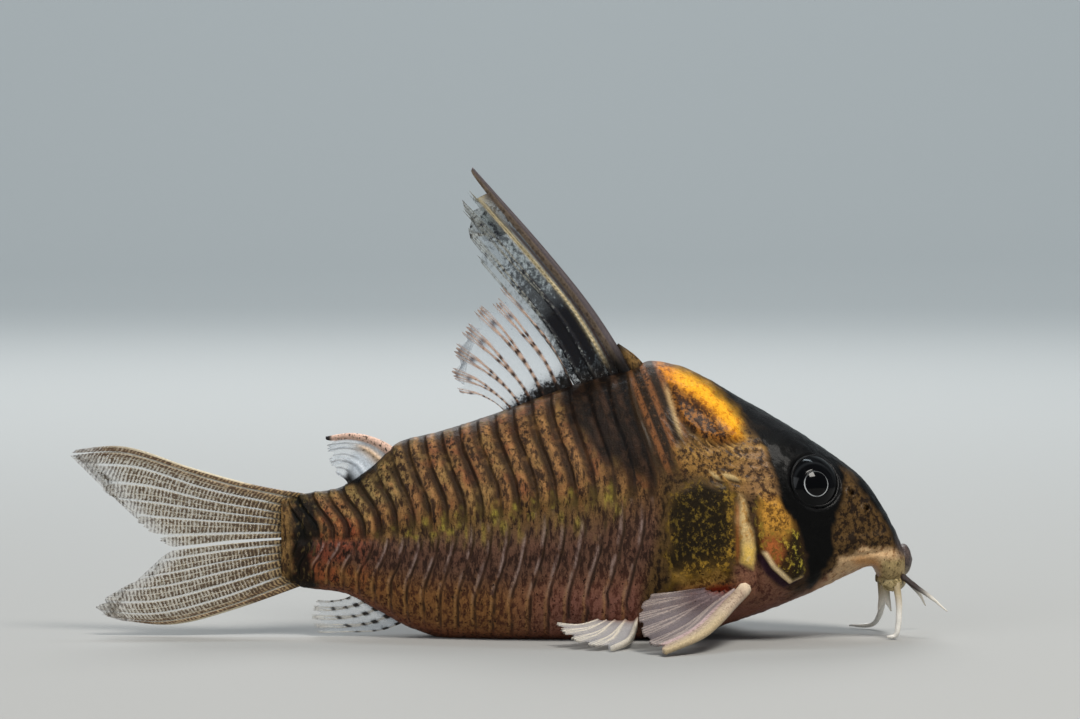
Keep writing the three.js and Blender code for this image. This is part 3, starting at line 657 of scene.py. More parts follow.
NOSTRILS = [(30.8, 13.3, 0.4), (32.2, 11.9, 0.34)]


def nostril_shape(x, z):
    """Height of the rims and pits of the nostrils."""
    lift = 0
    for at_x, at_z, radius in NOSTRILS:
        away = np.hypot(x - at_x, z - at_z)
        lift = lift + 0.22 * near(away, radius, 0.35 * radius + 0.1)
        lift = lift - 0.5 * ease(away, 0.8 * radius, 0.3 * radius)
    return lift


def paint_flank(coat, x, z, angle, q, points):
    """Copper plates with dark seams, the lateral line of yellow flecks and the belly."""
    upper = ease(angle, 1.66, 1.5)
    lower = 1 - upper
    part = plate_part(q, angle, 0.06 * grain(points, 0.9, 3))
    patch = mottle(points, 1.7, 1)
    coat.lay((120, 86, 52), 1, (50, 35, 24), 0.5, 0.18)
    coat.lay((142, 110, 66), upper * ease(patch, 0, 0.7), (72, 52, 32), 0.45, 0.16)
    coat.lay((122, 70, 46), 0.6 * ease(mottle(points, 1.2, 12), 0.0, 0.5), SEAM, 0.42, 0.16)
    coat.lay((90, 64, 54), lower * 0.85, (50, 33, 27), 0.5, 0.14)
    low = ease(angle, 1.85, 2.2)
    coat.lay((138, 94, 52), low * 0.85, (80, 48, 30), 0.46, 0.22)
    coat.lay((128, 84, 84), 0.6 * low * ease(x, -2, 6), (96, 56, 48), 0.4, 0.2)
    red = ease(mottle(points, 1.3, 11), -0.3, 0.3) * ease(x, -10, -15)
    coat.lay(RUST, 0.55 * red, SEAM, 0.46, 0.2)
    coat.lay((128, 112, 70), upper * ease(x, -6, -13) * ease(z, 11, 13) * 0.7, SEAM, 0.5)
    # back
    coat.lay(UMBER, 0.8 * ease(angle, 0.5, 0.1), (120, 108, 66), 0.25)
    # seams: broad and soft on the upper row, narrow on the lower one; own dark plus painted shade
    # in the steps
    armoured = (q >= 0) * ease(angle, 3.0, 2.6)
    broad = ease(part, 0.6, 0.34) * upper * ease(mottle(points, 0.9, 16), -1.1, -0.1)
    narrow = near(part, 0.06, 0.2) * lower * ease(grain(points, 0.8, 14), -0.9, 0.1)
    coat.lay((34, 24, 18), armoured * 0.9 * np.maximum(broad, narrow), (70, 50, 34),
             0.3, 0.16)
    pale = near(part, 0.24, 0.13) * lower * ease(mottle(points, 1.3, 41), -0.35, 0.25)
    edge = armoured * pale * ease(angle, 2.3, 1.95) * 0.75
    coat.lay(LILAC, edge, (110, 84, 76), 0.35)
    coat.lay((176, 132, 78), armoured * near(part, 0.26, 0.12) * low * 0.5, SEAM, 0.25, 0.2)
    streak = near(part, 0.66, 0.2) * upper * ease(mottle(points, 1.1, 44), -0.2, 0.4)
    coat.lay((172, 126, 78), 0.6 * streak * armoured, (90, 62, 40), 0.4)
    # lateral line
    line = near(angle, math.pi / 2 - 0.05, 0.22) * span(x, -13, -6, 9, 12)
    flecks = line * ease(np.sin(part * 2 * math.pi - 1.2), -0.2, 0.7)
    coat.lay((100, 82, 42), line * 0.5, SEAM, 0.45)
    coat.lay((158, 142, 60), flecks * ease(mottle(points, 0.7, 31), -0.1, 0.5) * 0.85,
             (96, 80, 36), 0.45)
    # belly with its dark spots
    coat.lay(BELLY_BROWN, 0.85 * ease(angle, 2.45, 2.8), (86, 48, 36), 0.4, 0.3)
    # dark saddle below the dorsal fin, crossed by faint copper stripes
    jog = 0.5 * grain(points, 1.4, 61)
    saddle = inside(SADDLE, x + jog, z, 2.2)
    coat.lay((14, 10, 8), 0.97 * saddle, (46, 32, 22), 0.32)
    stripes = ease(np.sin((x + 0.36 * z) * 2 * math.pi / 1.6), 0.1, 0.9)
    field = saddle * ease(mottle(points, 1.2, 64), -0.3, 0.4) * ease(x, 4, 10)
    coat.lay((74, 52, 38), 0.65 * stripes * field, (22, 15, 11), 0.5)

    # black wedge on the back below the adipose fin
    coat.lay(JET, 0.95 * inside(BACK_WEDGE, x + 0.3 * jog, z, 0.5), UMBER, 0.25)


def paint_shoulder(coat, x, z, jx, jz, front, points):
    """Bony shoulder, cheek and collar."""
    bone = ease(front, 12.9, 14.2)
    coat.lay((88, 66, 38), bone, (34, 24, 16), 0.5, 0.1)
    stripes = ease(np.sin((x + 0.4 * z) * 2 * math.pi / 1.35), -0.1, 0.8)
    behind = bone * ease(x, 17, 15.2) * ease(z, 14.5, 16.5)
    coat.lay((28, 20, 16), behind * 0.9, (84, 58, 38), 0.3)
    coat.lay((132, 84, 48), 0.75 * behind * stripes, (40, 26, 18), 0.45)
    cheek = inside(CHEEK, jx, jz, 0.9)
    coat.lay((136, 100, 52), cheek, (52, 36, 22), 0.5, 0.2)
    ribs = ease(bony_ribs(x, z), 0.0, 0.8) * ease(mottle(points, 1.2, 83), -0.4, 0.4)
    coat.lay((188, 148, 80), 0.75 * cheek * ribs, (104, 74, 40), 0.42)
    coat.lay((136, 104, 76), inside(CHEEK, jx - 1.6, jz + 1.2, 1.6) * ease(x, 20, 22) * 0.5,
             (64, 46, 34), 0.46)
    coat.lay(SEAM, 0.9 * ease(cheek_slot(x, z), 0.1, 0.5))
    bone = ease(slot_bone(x, z, 0.26), 0.15, 0.6)
    coat.lay((214, 186, 132), 0.85 * bone, (150, 116, 70), 0.35)
    # shoulder plate: dark olive in the middle, gold flecks all round and a gold lower edge
    worn = mottle(points, 1.8, 93)
    plate = inside(SHOULDER_PLATE, jx + worn, jz + worn, 1.4)
    core = inside(SHOULDER_PLATE, jx + 0.3 + worn, jz - 0.9, 3.6)
    coat.lay((66, 50, 22), plate, (160, 124, 46), 0.42, 0.24)
    coat.lay((32, 25, 14), plate * ease(core, 0.4, 1.0), (108, 88, 34), 0.36, 0.2)
    low_edge = near(z + worn, 5.9 + 0.06 * (x - 16), 1.2) * ease(x, 14.1, 15.6)
    coat.lay((182, 142, 70), 0.8 * low_edge * ease(x, 21, 18.5), (98, 68, 32),
             0.48, 0.2)
    under = near(z, 4.9, 0.8) * span(x, 14.5, 16, 21, 22)
    coat.lay((150, 100, 58), 0.7 * under, (90, 50, 34), 0.4)
    coat.lay((98, 32, 16), inside(ARMPIT, jx, jz, 0.8), (30, 14, 10), 0.4)
    dot = np.hypot(x - 19.2, z - 4.2)
    coat.lay(JET, ease(dot, 0.6, 0.3))


def paint_skull(coat, x, z, head, points):
    """Mottled olive-brown of the snout and the sides of the head."""
    coat.lay((96, 72, 40), head, (38, 27, 18), 0.48)
    snout = head * ease(x, 28, 30)
    coat.lay((36, 27, 18), snout, (14, 11, 8), 0.5, 0.14)
    coat.lay((70, 54, 32), snout * ease(mottle(points, 1.5, 105), 0.0, 0.5), SEAM, 0.5)
    streaks = snout * near(x, 30.6, 1.1) * ease(z, 12.2, 13.2)
    coat.lay((120, 98, 72), 0.8 * streaks, (34, 27, 20), 0.52)
    green = snout * near(z, 11.5, 1.2) * near(x, 31.6, 1.6)
    coat.lay((70, 66, 36), green, (132, 128, 84), 0.3)
    grey = snout * near(z, 9.3, 1.4) * ease(x, 34.5, 32.5)
    coat.lay((100, 84, 64), 0.8 * grey, (40, 32, 24), 0.52, 0.14)


def paint_head(coat, x, z, jx, jz, head):
    """Gill cover, throat, jaw and the black mask and crown."""
    cover = inside(GILL_COVER, jx, jz, 0.5)
    low = head * ease(x, 28.4, 27.2) * ease(z, 13.6, 12.4)
    coat.lay((62, 44, 30), low * 0.9, (26, 18, 13), 0.45)
    fleshy = inside(FLESHY_PATCH, jx, jz, 1.2)
    coat.lay((136, 94, 74), 0.85 * fleshy, (92, 56, 46), 0.42, 0.12)
    coat.lay((52, 36, 18), cover, (180, 150, 58), 0.34, 0.2)
    coat.lay((196, 142, 58), 0.9 * inside(GILL_GOLD, jx, jz, 1.0), (92, 56, 26), 0.5, 0.22)
    coat.lay((178, 100, 52), 0.85 * inside(GILL_COPPER, jx, jz, 1.2), (70, 36, 20), 0.46)
    right = cover * ease(x, 25.0, 25.8)
    coat.lay((34, 28, 16), 0.8 * right, (176, 162, 62), 0.36)
    rim = inside(GILL_COVER, x, z, 0.3) - inside(GILL_COVER, x - 0.3, z - 0.34, 0.35)
    coat.lay((232, 204, 156), 0.9 * np.clip(rim, 0, 1) * (z < 8.2), (190, 140, 90), 0.2)
    below = inside(GILL_COVER, x + 0.5, z + 0.55, 0.4) - inside(GILL_COVER, x, z, 0.3)
    coat.lay((40, 18, 34), 0.9 * np.clip(below, 0, 1) * (z < 8) * (x < 26.4))
    # throat, jaw and lips
    coat.lay((120, 80, 66), inside(THROAT, jx, jz, 1.1), (96, 58, 46), 0.35)
    pale = inside(THROAT, jx, jz, 1.1) * ease(x, 25, 29)
    coat.lay((178, 142, 106), 0.8 * pale, (146, 100, 72), 0.35)
    jaw = inside(JAW_EDGE, jx, jz, 0.7)
    coat.lay((206, 172, 130), 0.92 * jaw, (150, 110, 72), 0.35, 0.08)
    orange = near(z, 7.2 - 0.1 * (x - 31), 0.8) * span(x, 30.4, 31.6, 32.8, 33.8)
    coat.lay((186, 124, 60), 0.6 * orange)
    mouth = ease(x, 33.1, 33.9) * ease(z, 7.6, 6.9)
    coat.lay((162, 142, 98), 0.9 * mouth, (86, 74, 48), 0.38, 0.16)
    # black mask over the eye, black crown down to the snout
    coat.lay((6, 6, 6), inside(EYE_MASK, jx, jz, 0.6), (20, 15, 9), 0.12)
    crown = inside(CROWN, jx, jz, 0.8) * (z > 7.6)
    coat.lay((6, 6, 7), crown, (24, 22, 22), 0.2)
    lobe = ease(x, 34.6, 35.4) * span(z, 7.0, 7.8, 9.2, 10)
    coat.lay((74, 64, 62), 0.8 * lobe, (30, 26, 26), 0.4)


def paint_nape(coat, x, z, jx, jz):
    """Copper nape plates with the gold band along their front, brightened by a painted highlight.
    """
    nape = inside(NAPE_PLATE, jx, jz, 0.5)
    coat.lay((140, 88, 32), nape, (52, 30, 14), 0.54, 0.24)
    # gold band: the plates' own gold, with a painted highlight
    gold_and_highlight = inside(NAPE_GOLD_HIGHLIGHT, jx, jz, 0.7)
    coat.lay((212, 132, 24), gold_and_highlight, (116, 62, 18), 0.45)
    # painted highlight: the brightest gold, towards the upper front of the band
    painted_highlight = inside(NAPE_GOLD_HIGHLIGHT, jx - 0.12, jz - 0.16, 1.5) * ease(x, 14.4, 16)
    coat.lay((250, 184, 44), 0.8 * painted_highlight, (226, 140, 22), 0.35)
    rear = near(x, 14.9 + 0.3 * (20.6 - z), 0.34) * span(z, 18, 19.2, 22, 23.4)
    coat.lay((196, 166, 116), 0.8 * rear, (90, 60, 36), 0.3)
    coat.lay(SEAM, 0.9 * nape_furrow(x, z))


def skin_coat(x, z, angle, q, points, seats):
    """Paint of every point of the skin."""
    coat = Coat(points, COPPER)
    jx, jz = (v + 0.3 * mottle(points, 1.0, seed) for v, seed in ((x, 61), (z, 71)))
    front = leaned_front(x, angle)
    head = ease(front, GILL_X - 0.3, GILL_X + 0.5)
    paint_flank(coat, x, z, angle, q, points)
    paint_skull(coat, x, z, head, points)
    paint_shoulder(coat, x, z, jx, jz, front, points)
    paint_head(coat, x, z, jx, jz, head)
    paint_nape(coat, x, z, jx, jz)
    collar = inside(COLLAR_BAR, jx, jz, 0.6)
    coat.lay((206, 176, 122), 0.95 * collar, (186, 142, 80), 0.4)
    coat.lay((222, 184, 92), 0.9 * collar * ease(z, 9.6, 8.4), CREAM, 0.35)
    coat.lay((150, 88, 42), 0.6 * near(x, 20.55, 0.3) * span(z, 7, 8, 12, 13))
    coat.lay((136, 104, 62), ease(x, -18.7, -19.6), (60, 42, 26), 0.5, 0.2)
    worn = 0.5 * mottle(points, 0.8, 81)
    coat.lay((12, 12, 9), 0.97 * inside(TAIL_BAR, jx + worn, jz, 1.0), (88, 74, 44), 0.26)
    for radial in seats:
        coat.lay(JET, ease(radial, EyeSeat.opening + 0.7, EyeSeat.opening + 0.2))
    return coat


def make_skin():
    """The whole body in one skin, from the snout to the base of the tail fin."""
    lateral, q = skin_rows()
    spread = through([
        (0, 0), (0.12, 0.42), (0.4, 1.22), (0.52, math.pi / 2), (0.57, 1.7), (0.82, 2.5),
        (1, math.pi),
    ])
    columns = 92
    half = spread(np.linspace(0, 1, columns))
    signs = np.concatenate((np.ones(columns), -np.ones(columns - 2)))
    angles = np.concatenate((half, half[-2:0:-1]))
    angle = np.broadcast_to(angles[None, :], (lateral.size, angles.size))
    x = lateral[:, None] + lean(lateral[:, None], angle)
    plain = body_point(x, angle * signs)
    numbers = np.broadcast_to(q[:, None], x.shape)
    lift = armour_shape(numbers, angle, plain) + head_shape(x, plain[..., 2], plain)
    lift = lift + nostril_shape(x, plain[..., 2]) + 0.03 * mottle(plain, 0.5, 9)
    points = body_point(x, angle * signs, lift)
    seats = [EyeSeat(side).press(points) for side in SIDES.values()]
    points[..., 2] = np.maximum(points[..., 2], 0)
    coat = skin_coat(x, plain[..., 2], angle, numbers, plain, seats)
    skin = grid_piece("skin", points, coat, SKIN)
    return belongs(skin, "skin", "head", "torso", "tail_stalk")


def lump(name, centre, radii, coat_for, material, rough=0.05):
    """Rough oval lump."""
    turn = np.linspace(0, 2 * math.pi, 56, endpoint=False)[None, :]
    tilt = np.linspace(0.02, math.pi - 0.02, 40)[:, None]
    unit = np.stack(np.broadcast_arrays(
        np.sin(tilt) * np.cos(turn), np.sin(tilt) * np.sin(turn), np.cos(tilt)), axis=-1)
    points = unit * np.array(radii) + np.array(centre)
    points = points + unit * rough * mottle(points, 0.9, 7)[..., None]
    return grid_piece(name, points, coat_for(points), material)


def tube(name, route, radii, coat_for, material, steps=60, around=16, flat=1.0, rough=0.02):
    """Tapered tube through points in millimetres; coat_for paints it from root to tip."""
    t = np.linspace(0, 1, steps)
    centre = spline(route, t)
    along = np.gradient(centre, axis=0)
    along /= np.linalg.norm(along, axis=1)[:, None]
    side = np.cross(along, np.array((0.13, 0.97, 0.2)))
    side /= np.linalg.norm(side, axis=1)[:, None]
    other = np.cross(along, side)
    turn = np.linspace(0, 2 * math.pi, around, endpoint=False)
    radius = through(radii)(t)[:, None, None]
    points = centre[:, None] + radius * (
        side[:, None] * np.cos(turn)[None, :, None]
        + flat * other[:, None] * np.sin(turn)[None, :, None]
    )
    points += rough * mottle(points, 0.7, 13)[..., None]
    points[..., 2] = np.maximum(points[..., 2], 0.01)
    return grid_piece(name, points, coat_for(points, t[:, None]), material)


def spline(points, t):
    """Smooth curve through points at t from 0 to 1, evenly shared; below 0 it runs on back."""
    knots = np.asarray(points, float)
    count = len(knots) - 1
    padded = np.concatenate((2 * knots[:1] - knots[1:2], knots, 2 * knots[-1:] - knots[-2:-1]))
    place = np.clip(np.asarray(t) * count, -1, count - 1e-9)
    i = np.maximum(place, 0).astype(int)
    f = (place - i)[..., None]
    a, b, c, d = padded[i], padded[i + 1], padded[i + 2], padded[i + 3]
    return 0.5 * (
        2 * b + (c - a) * f + (2 * a - 5 * b + 4 * c - d) * f**2
        + (3 * b - a - 3 * c + d) * f**3
    )


# Fins: the points of each ray from root to tip, as in the solids
DORSAL_FRONT = [
    [(11.4, 0, 23.0), (7.5, 0, 29.2), (3.0, 0, 35.0), (-3.1, 0, 42.2)],
    [(9.9, 0, 22.6), (6.4, 0.05, 28.8), (2.0, 0.1, 34.2), (-3.7, 0.15, 40.7)],
    [(8.6, 0, 22.2), (5.2, 0.1, 28.3), (1.0, 0.2, 33.4), (-4.2, 0.25, 39.1)],
    [(7.4, 0, 21.8), (4.2, 0.15, 27.3), (0.6, 0.3, 31.8), (-3.6, 0.3, 36.6)],
    [(6.8, 0, 21.5), (4.0, 0.15, 26.0), (0.9, 0.25, 29.9), (-2.6, 0.25, 34.0)],
]
DORSAL_REAR = [
    [(6.6, 0, 21.4), (4.6, 0.1, 25.4), (2.4, 0.2, 28.6), (-0.6, 0.2, 31.9)],
    [(5.2, 0, 20.9), (3.6, 0.05, 24.6), (1.2, 0.1, 27.8), (-1.0, 0.1, 30.3)],
    [(3.9, 0, 20.5), (2.2, 0, 23.9), (-0.2, 0, 27.2), (-2.7, 0, 29.8)],
    [(2.8, 0, 20.1), (1.2, 0, 22.9), (-1.2, 0, 25.6), (-3.9, 0, 28.0)],
    [(1.9, 0, 19.8), (0.3, 0, 22.1), (-2.0, 0, 24.2), (-4.9, 0, 26.1)],
    [(1.2, 0, 19.6), (-0.4, 0, 21.4), (-2.4, 0, 22.8), (-5.1, 0, 23.8)],
    [(0.6, 0, 19.4), (-0.8, 0, 20.9), (-2.4, 0, 21.7), (-4.5, 0, 22.0)],
]
ADIPOSE = [
    [(-9.4, 0, 16.2), (-11.6, 0, 17.6), (-13.9, 0, 18.2), (-16.3, 0, 18.0)],
    [(-10.6, 0, 15.2), (-12.6, 0, 16.9), (-14.4, 0, 17.3), (-16.3, 0, 17.0)],
    [(-12.2, 0, 13.8), (-13.4, 0, 15.5), (-14.8, 0, 16.0), (-16.0, 0, 15.7)],
    [(-13.8, 0, 12.6), (-14.4, 0, 14.0), (-14.9, 0, 14.4), (-15.3, 0, 14.6)],
]
ANAL = [
    [(-8.6, 0, 1.6), (-11.0, 0, 0.62), (-13.4, 0, 0.36), (-17.3, 0, 0.3)],
    [(-9.7, 0, 2.4), (-12.0, 0, 1.3), (-14.4, 0, 0.95), (-17.6, 0, 0.95)],
    [(-10.9, 0, 3.0), (-12.9, 0, 2.0), (-15.2, 0, 1.7), (-17.7, 0, 1.75)],
    [(-12.0, 0, 3.6), (-13.7, 0, 2.8), (-15.7, 0, 2.5), (-17.6, 0, 2.55)],
    [(-13.0, 0, 4.4), (-14.4, 0, 3.5), (-15.8, 0, 3.25), (-17.2, 0, 3.3)],
]
CAUDAL_UPPER = [
    [(-17.9, 0, 12.7), (-23.2, 0.1, 13.7), (-28.6, 0.2, 15.2), (-34.4, 0.4, 17.0),
     (-39.2, 0.5, 16.8)],
    [(-18.8, 0, 12.0), (-26.9, 0.2, 13.8), (-33.8, 0.5, 16.0), (-39.4, 0.6, 16.1)],
    [(-19.2, 0, 11.3), (-26.7, 0.2, 12.7), (-32.6, 0.5, 14.4), (-37.0, 0.7, 14.9)],
    [(-19.3, 0, 10.7), (-26.4, 0.2, 11.7), (-32.0, 0.5, 12.7), (-36.4, 0.8, 13.0)],
    [(-19.3, 0, 10.2), (-26.0, 0.2, 10.8), (-30.8, 0.5, 11.3), (-34.8, 0.7, 11.9)],
    [(-19.3, 0, 9.8), (-25.4, 0.15, 9.9), (-29.6, 0.4, 10.0), (-33.2, 0.5, 10.1)],
    [(-19.3, 0, 9.0), (-24.4, 0.1, 8.7), (-27.6, 0.3, 8.33), (-30.6, 0.4, 8.0)],
]
CAUDAL_LOWER = [
    [(-19.3, 0, 8.8), (-24.4, 0.1, 8.42), (-27.6, 0.3, 8.05), (-30.7, 0.4, 7.65)],
    [(-19.3, 0, 8.0), (-25.2, 0.1, 7.2), (-29.0, 0.3, 6.5), (-32.2, 0.4, 5.8)],
    [(-19.3, 0, 7.5), (-25.6, 0.15, 6.3), (-30.2, 0.3, 5.2), (-34.3, 0.4, 4.6)],
    [(-19.3, 0, 6.9), (-25.9, 0.15, 5.2), (-31.2, 0.3, 3.9), (-36.2, 0.4, 3.5)],
    [(-19.2, 0, 6.3), (-25.9, 0.15, 4.0), (-31.8, 0.3, 2.5), (-37.2, 0.4, 2.6)],
    [(-18.8, 0, 5.6), (-25.7, 0.15, 2.9), (-31.4, 0.3, 1.6), (-36.6, 0.4, 1.9)],
    [(-17.9, 0, 5.0), (-24.8, 0.15, 2.5), (-30.2, 0.3, 1.1), (-35.0, 0.4, 1.4)],
]
PECTORAL = [
    [(21.4, 5.9, 5.1), (19.8, 10.6, 3.8), (17.4, 15.2, 1.8), (13.9, 18.4, 0.42)],
    [(20.8, 5.9, 4.9), (18.4, 10.2, 3.8), (15.8, 14.2, 2.1), (12.6, 16.8, 0.9)],
    [(20.2, 5.9, 4.8), (17.6, 9.6, 3.9), (15.0, 12.6, 2.8), (11.9, 14.6, 1.8)],
    [(19.6, 5.9, 4.7), (17.1, 8.9, 4.1), (14.6, 11.2, 3.5), (11.6, 12.4, 2.9)],
    [(19.0, 5.9, 4.7), (16.8, 8.3, 4.4), (14.5, 9.8, 4.2), (12.0, 10.4, 3.9)],
    [(18.4, 5.9, 4.8), (16.8, 7.8, 4.9), (14.9, 8.9, 4.8), (12.9, 9.2, 4.6)],
]
PELVIC = [
    [(11.9, 3.0, 2.2), (11.6, 7.4, 1.6), (11.0, 11.2, 0.8), (9.4, 14.2, 0.36)],
    [(11.1, 2.9, 2.2), (10.3, 7.2, 1.7), (9.2, 10.8, 0.95), (7.5, 13.6, 0.5)],
    [(10.5, 2.9, 2.2), (9.3, 6.8, 1.7), (8.0, 10.0, 1.2), (6.0, 12.2, 0.9)],
    [(9.9, 2.9, 2.2), (8.6, 6.4, 1.75), (7.0, 9.2, 1.5), (4.9, 10.8, 1.5)],
    [(9.3, 2.9, 2.2), (7.9, 6.1, 1.85), (6.3, 8.4, 1.85), (4.3, 9.4, 2.2)],
]


def ridge(u, middle, width):
    """Rounded ridge across the rays, 1 at its middle."""
    return np.exp(-(((u - middle) / width) ** 2))


def on_ray(u, reach):
    """1 along the middle of each ray, falling to 0 at that reach to its sides."""
    return near(u - np.round(u), 0, reach)


def thin_ribs(du, t):
    """Slender rays that branch twice towards the margin."""
    first = 0.16 * ease(t, 0.35, 0.8)
    second = 0.075 * ease(t, 0.65, 0.95)
    width = 0.13 - 0.08 * ease(t, 0.25, 1)
    places = [a * first + b * second for a, b in product((-1, 1), repeat=2)]
    return np.max([ridge(du, place, width) for place in places], axis=0)


def broad_ribs(du, t):
    """Broad rays with a narrow clear slit between them, split lengthwise towards the margin."""
    slit = ridge(np.abs(du), 0.5, 0.105 - 0.03 * t)
    middle = 0.5 * ease(t, 0.15, 0.4) * ridge(du, 0, 0.035)
    sides = 0.4 * ease(t, 0.45, 0.7) * ridge(np.abs(du), 0.19, 0.035)
    return np.clip(1 - slit - middle - sides, 0, 1)


def fin(name, rays, look, nodes, ribs=thin_ribs, spine=0.0, edge=0.0, root=0.0, notch=0.0,
        ragged=1.0, web=FIN_WEB):
    """Thin web stretched over rays, painted by look.

    look(u, t, ray, spot) gives the coat; u counts rays, t runs from root to tip, ray is 1 on a
    ray and 0 on the web, and spot is the place in millimetres. Spine is the width of the stout
    first ray, edge how far it stands out in front, and root how far the rays run on inwards.
    Notch is the depth of the cleft behind the spine's tip, and ragged tells how frayed the
    margin is.
    """
    per_ray, rows = 18, 90
    count = len(rays) - 1
    u = np.linspace(0, count, count * per_ray + 1)
    t = np.linspace(0, 1, rows)
    left = np.clip(u.astype(int), 0, count - 1)
    share = (u - left)[None, :, None]
    du = (u - np.round(u))[None, :]
    ray = np.broadcast_to(ribs(du, t[:, None]), (rows, u.size))
    if spine:
        stout = np.exp(-((u[None, :] / (spine * (1 - 0.5 * t[:, None]))) ** 4))
        ray = np.maximum(ray * ease(u, 0.15, 0.45)[None, :], stout)
    # the margin is drawn in between the tips of the rays, and frayed
    fray = 0.5 + 0.5 * np.sin(u * 37.0 + 3 * np.sin(u * 11.0))
    drawn_in = ragged * (
        0.06 * (1 - ray[-1]) + 0.035 * fray + 0.05 * near(np.abs(du[0]), 0.5, 0.22))
    if spine:
        drawn_in = drawn_in * ease(u, 0.1, 0.5) + notch * near(u, 0.6, 0.42)
    reach = (t * (1 + root) - root)[:, None] * (1 - drawn_in)[None, :]
    along_rays = np.stack([spline(ray_points, reach) for ray_points in rays])
    index = np.broadcast_to(left[None, :], reach.shape)
    row, column = np.indices(reach.shape)
    middle = (
        along_rays[index, row, column] * (1 - share)
        + along_rays[index + 1, row, column] * share
    )
    if edge:
        ahead = spline(rays[0], t) - spline(rays[1], t)
        ahead /= np.linalg.norm(ahead, axis=1)[:, None]
        front = middle[:, :1] + (ahead * (edge * (1 - 0.8 * t**2))[:, None])[:, None]
        middle = np.concatenate((front, (front + middle[:, :1]) / 2, middle), axis=1)
        ray, reach = (np.concatenate((v[:, :1], v[:, :1], v), axis=1) for v in (ray, reach))
        u = np.concatenate(([0, 0], u))
    along = np.gradient(middle, axis=0)
    normal = np.cross(along, np.gradient(middle, axis=1))
    normal /= np.linalg.norm(normal, axis=2)[..., None] + 1e-9
    steps = np.linalg.norm(np.diff(middle, axis=0), axis=2).cumsum(axis=0)
    length = np.concatenate((np.zeros((1, middle.shape[1])), steps))
    joints = 0.5 + 0.5 * np.cos(length * 2 * math.pi / 0.5)
    inner = 1 - t[:, None]
    bulge = (0.07 + 0.15 * inner) * ray * (1 - 0.2 * joints * ease(t, 0.1, 0.3)[:, None])
    if spine:
        bulge = bulge + 0.32 * (1 - 0.6 * t[:, None]) * ridge(u[None, :], 0, spine * 0.8)
    half = (0.05 + 0.1 * inner**2 + bulge)[..., None]
    if edge:
        half[:, 0] *= 0.4
    ripple = 0.1 * t[:, None] * grain(middle, 3.5, len(name))
    middle = middle + normal * ripple[..., None]
    points = np.concatenate((middle + normal * half, (middle - normal * half)[:, ::-1]), axis=1)
    points[..., 2] = np.maximum(points[..., 2], 0.01)
    u, reach, ray, length = (
        np.concatenate((v, v[:, ::-1]), axis=1)
        for v in (np.broadcast_to(u, ray.shape), reach, ray, length)
    )
    spot = np.concatenate((middle, middle[:, ::-1]), axis=1)
    piece = grid_piece(name, points, look(u, reach, ray, spot), web, run=length)
    return belongs(piece, "fin", *nodes)


def bars(t, pitch, share, spot, seed=0):
    """Dark dashes along the rays, that share of each pitch dark."""
    wave = np.cos((t / pitch + 0.12 * grain(spot, 0.8, seed)) * 2 * math.pi)
    return ease(wave, 1 - 2 * share - 0.3, 1 - 2 * share + 0.3)


def caudal_look(u, t, ray, spot):
    """Broad rays barred with brown, golden at the root and clear grey at the margin."""
    band = ease(ray, 0.2, 0.6)
    outer = ease(u, 1.4, 0.4)
    faded = ease(t, 1, 0.45)
    shown = (0.16 + 0.3 * band) * (0.3 + 0.7 * ease(t, 1, 0.7))
    coat = Coat(spot, (196, 196, 192), shown)
    coat.lay((186, 178, 160), band, (92, 78, 64), 0.42 + 0.1 * faded)
    coat.lay((160, 134, 92), band * ease(t, 0.55, 0.1) * 0.8, (68, 52, 36), 0.58)
    coat.lay((158, 132, 96), band * outer * 0.8, (92, 70, 52), 0.62)
    rim = span(ray, 0.15, 0.35, 0.5, 0.8)
    coat.lay((220, 208, 180), 0.8 * rim * ease(t, 0.95, 0.6))
    coat.lay((116, 92, 48), ease(t, 0.12, 0.02) * 0.9, (40, 28, 16), 0.5, 0.3)
    coat.alpha = np.clip(coat.alpha + 0.5 * outer * faded + 0.9 * ease(t, 0.14, 0.02), 0, 1)
    return coat


def dorsal_front_look(u, t, ray, spot):
    """Brown spine, beaded pale first ray and black stippled webs that fade to grey."""
    root = ease(t, 0.9, 0.3) * (1 - 0.6 * ease(u, 2.6, 3.3))
    web = (0.2 + 0.5 * ease(t, 0.5, 0.1)) * (1 - 0.55 * ease(u, 2.9, 3.3))
    coat = Coat(spot, (150, 164, 178), web * (1 - 0.7 * ease(t, 0.82, 1)))
    coat.lay((104, 116, 124), 1, (12, 12, 18), 0.3 + 0.62 * root, 0.3 * root)
    coat.lay((120, 132, 128), ridge(u, 1.45, 0.25) * ease(t, 0.3, 0.6), (20, 24, 34), 0.5)
    other = ease(ray, 0.3, 0.8) * ease(u, 1.35, 1.6)
    coat.lay((172, 168, 150), other * (0.4 + 0.4 * ease(t, 0.3, 0.7)), (40, 40, 46), 0.42)
    first = np.clip(1.2 * ridge(u, 0.93, 0.17), 0, 1)
    beads = bars(t, 0.021, 0.3, spot)
    coat.lay(blend(light_of((200, 184, 146)), light_of((112, 98, 70)), beads), first)
    spine = ease(u + 0.12 * ease(t, 0.6, 1), 0.52, 0.42)
    coat.lay((118, 102, 86), spine, (84, 70, 58), 0.42)
    coat.lay((84, 76, 78), ease(u, 0.12, 0.0))
    coat.lay((58, 28, 12), ridge(u, 0.6, 0.12) * (1 - 0.3 * t))
    coat.lay((26, 20, 16), ease(t, 0.22, 0.07), JET, 0.45)
    shown = np.maximum.reduce([spine, first * (1 - 0.5 * ease(t, 0.7, 1)), ridge(u, 0.6, 0.2)])
    coat.alpha = np.clip(np.maximum(coat.alpha + 0.25 * other, shown), 0, 1)
    return coat


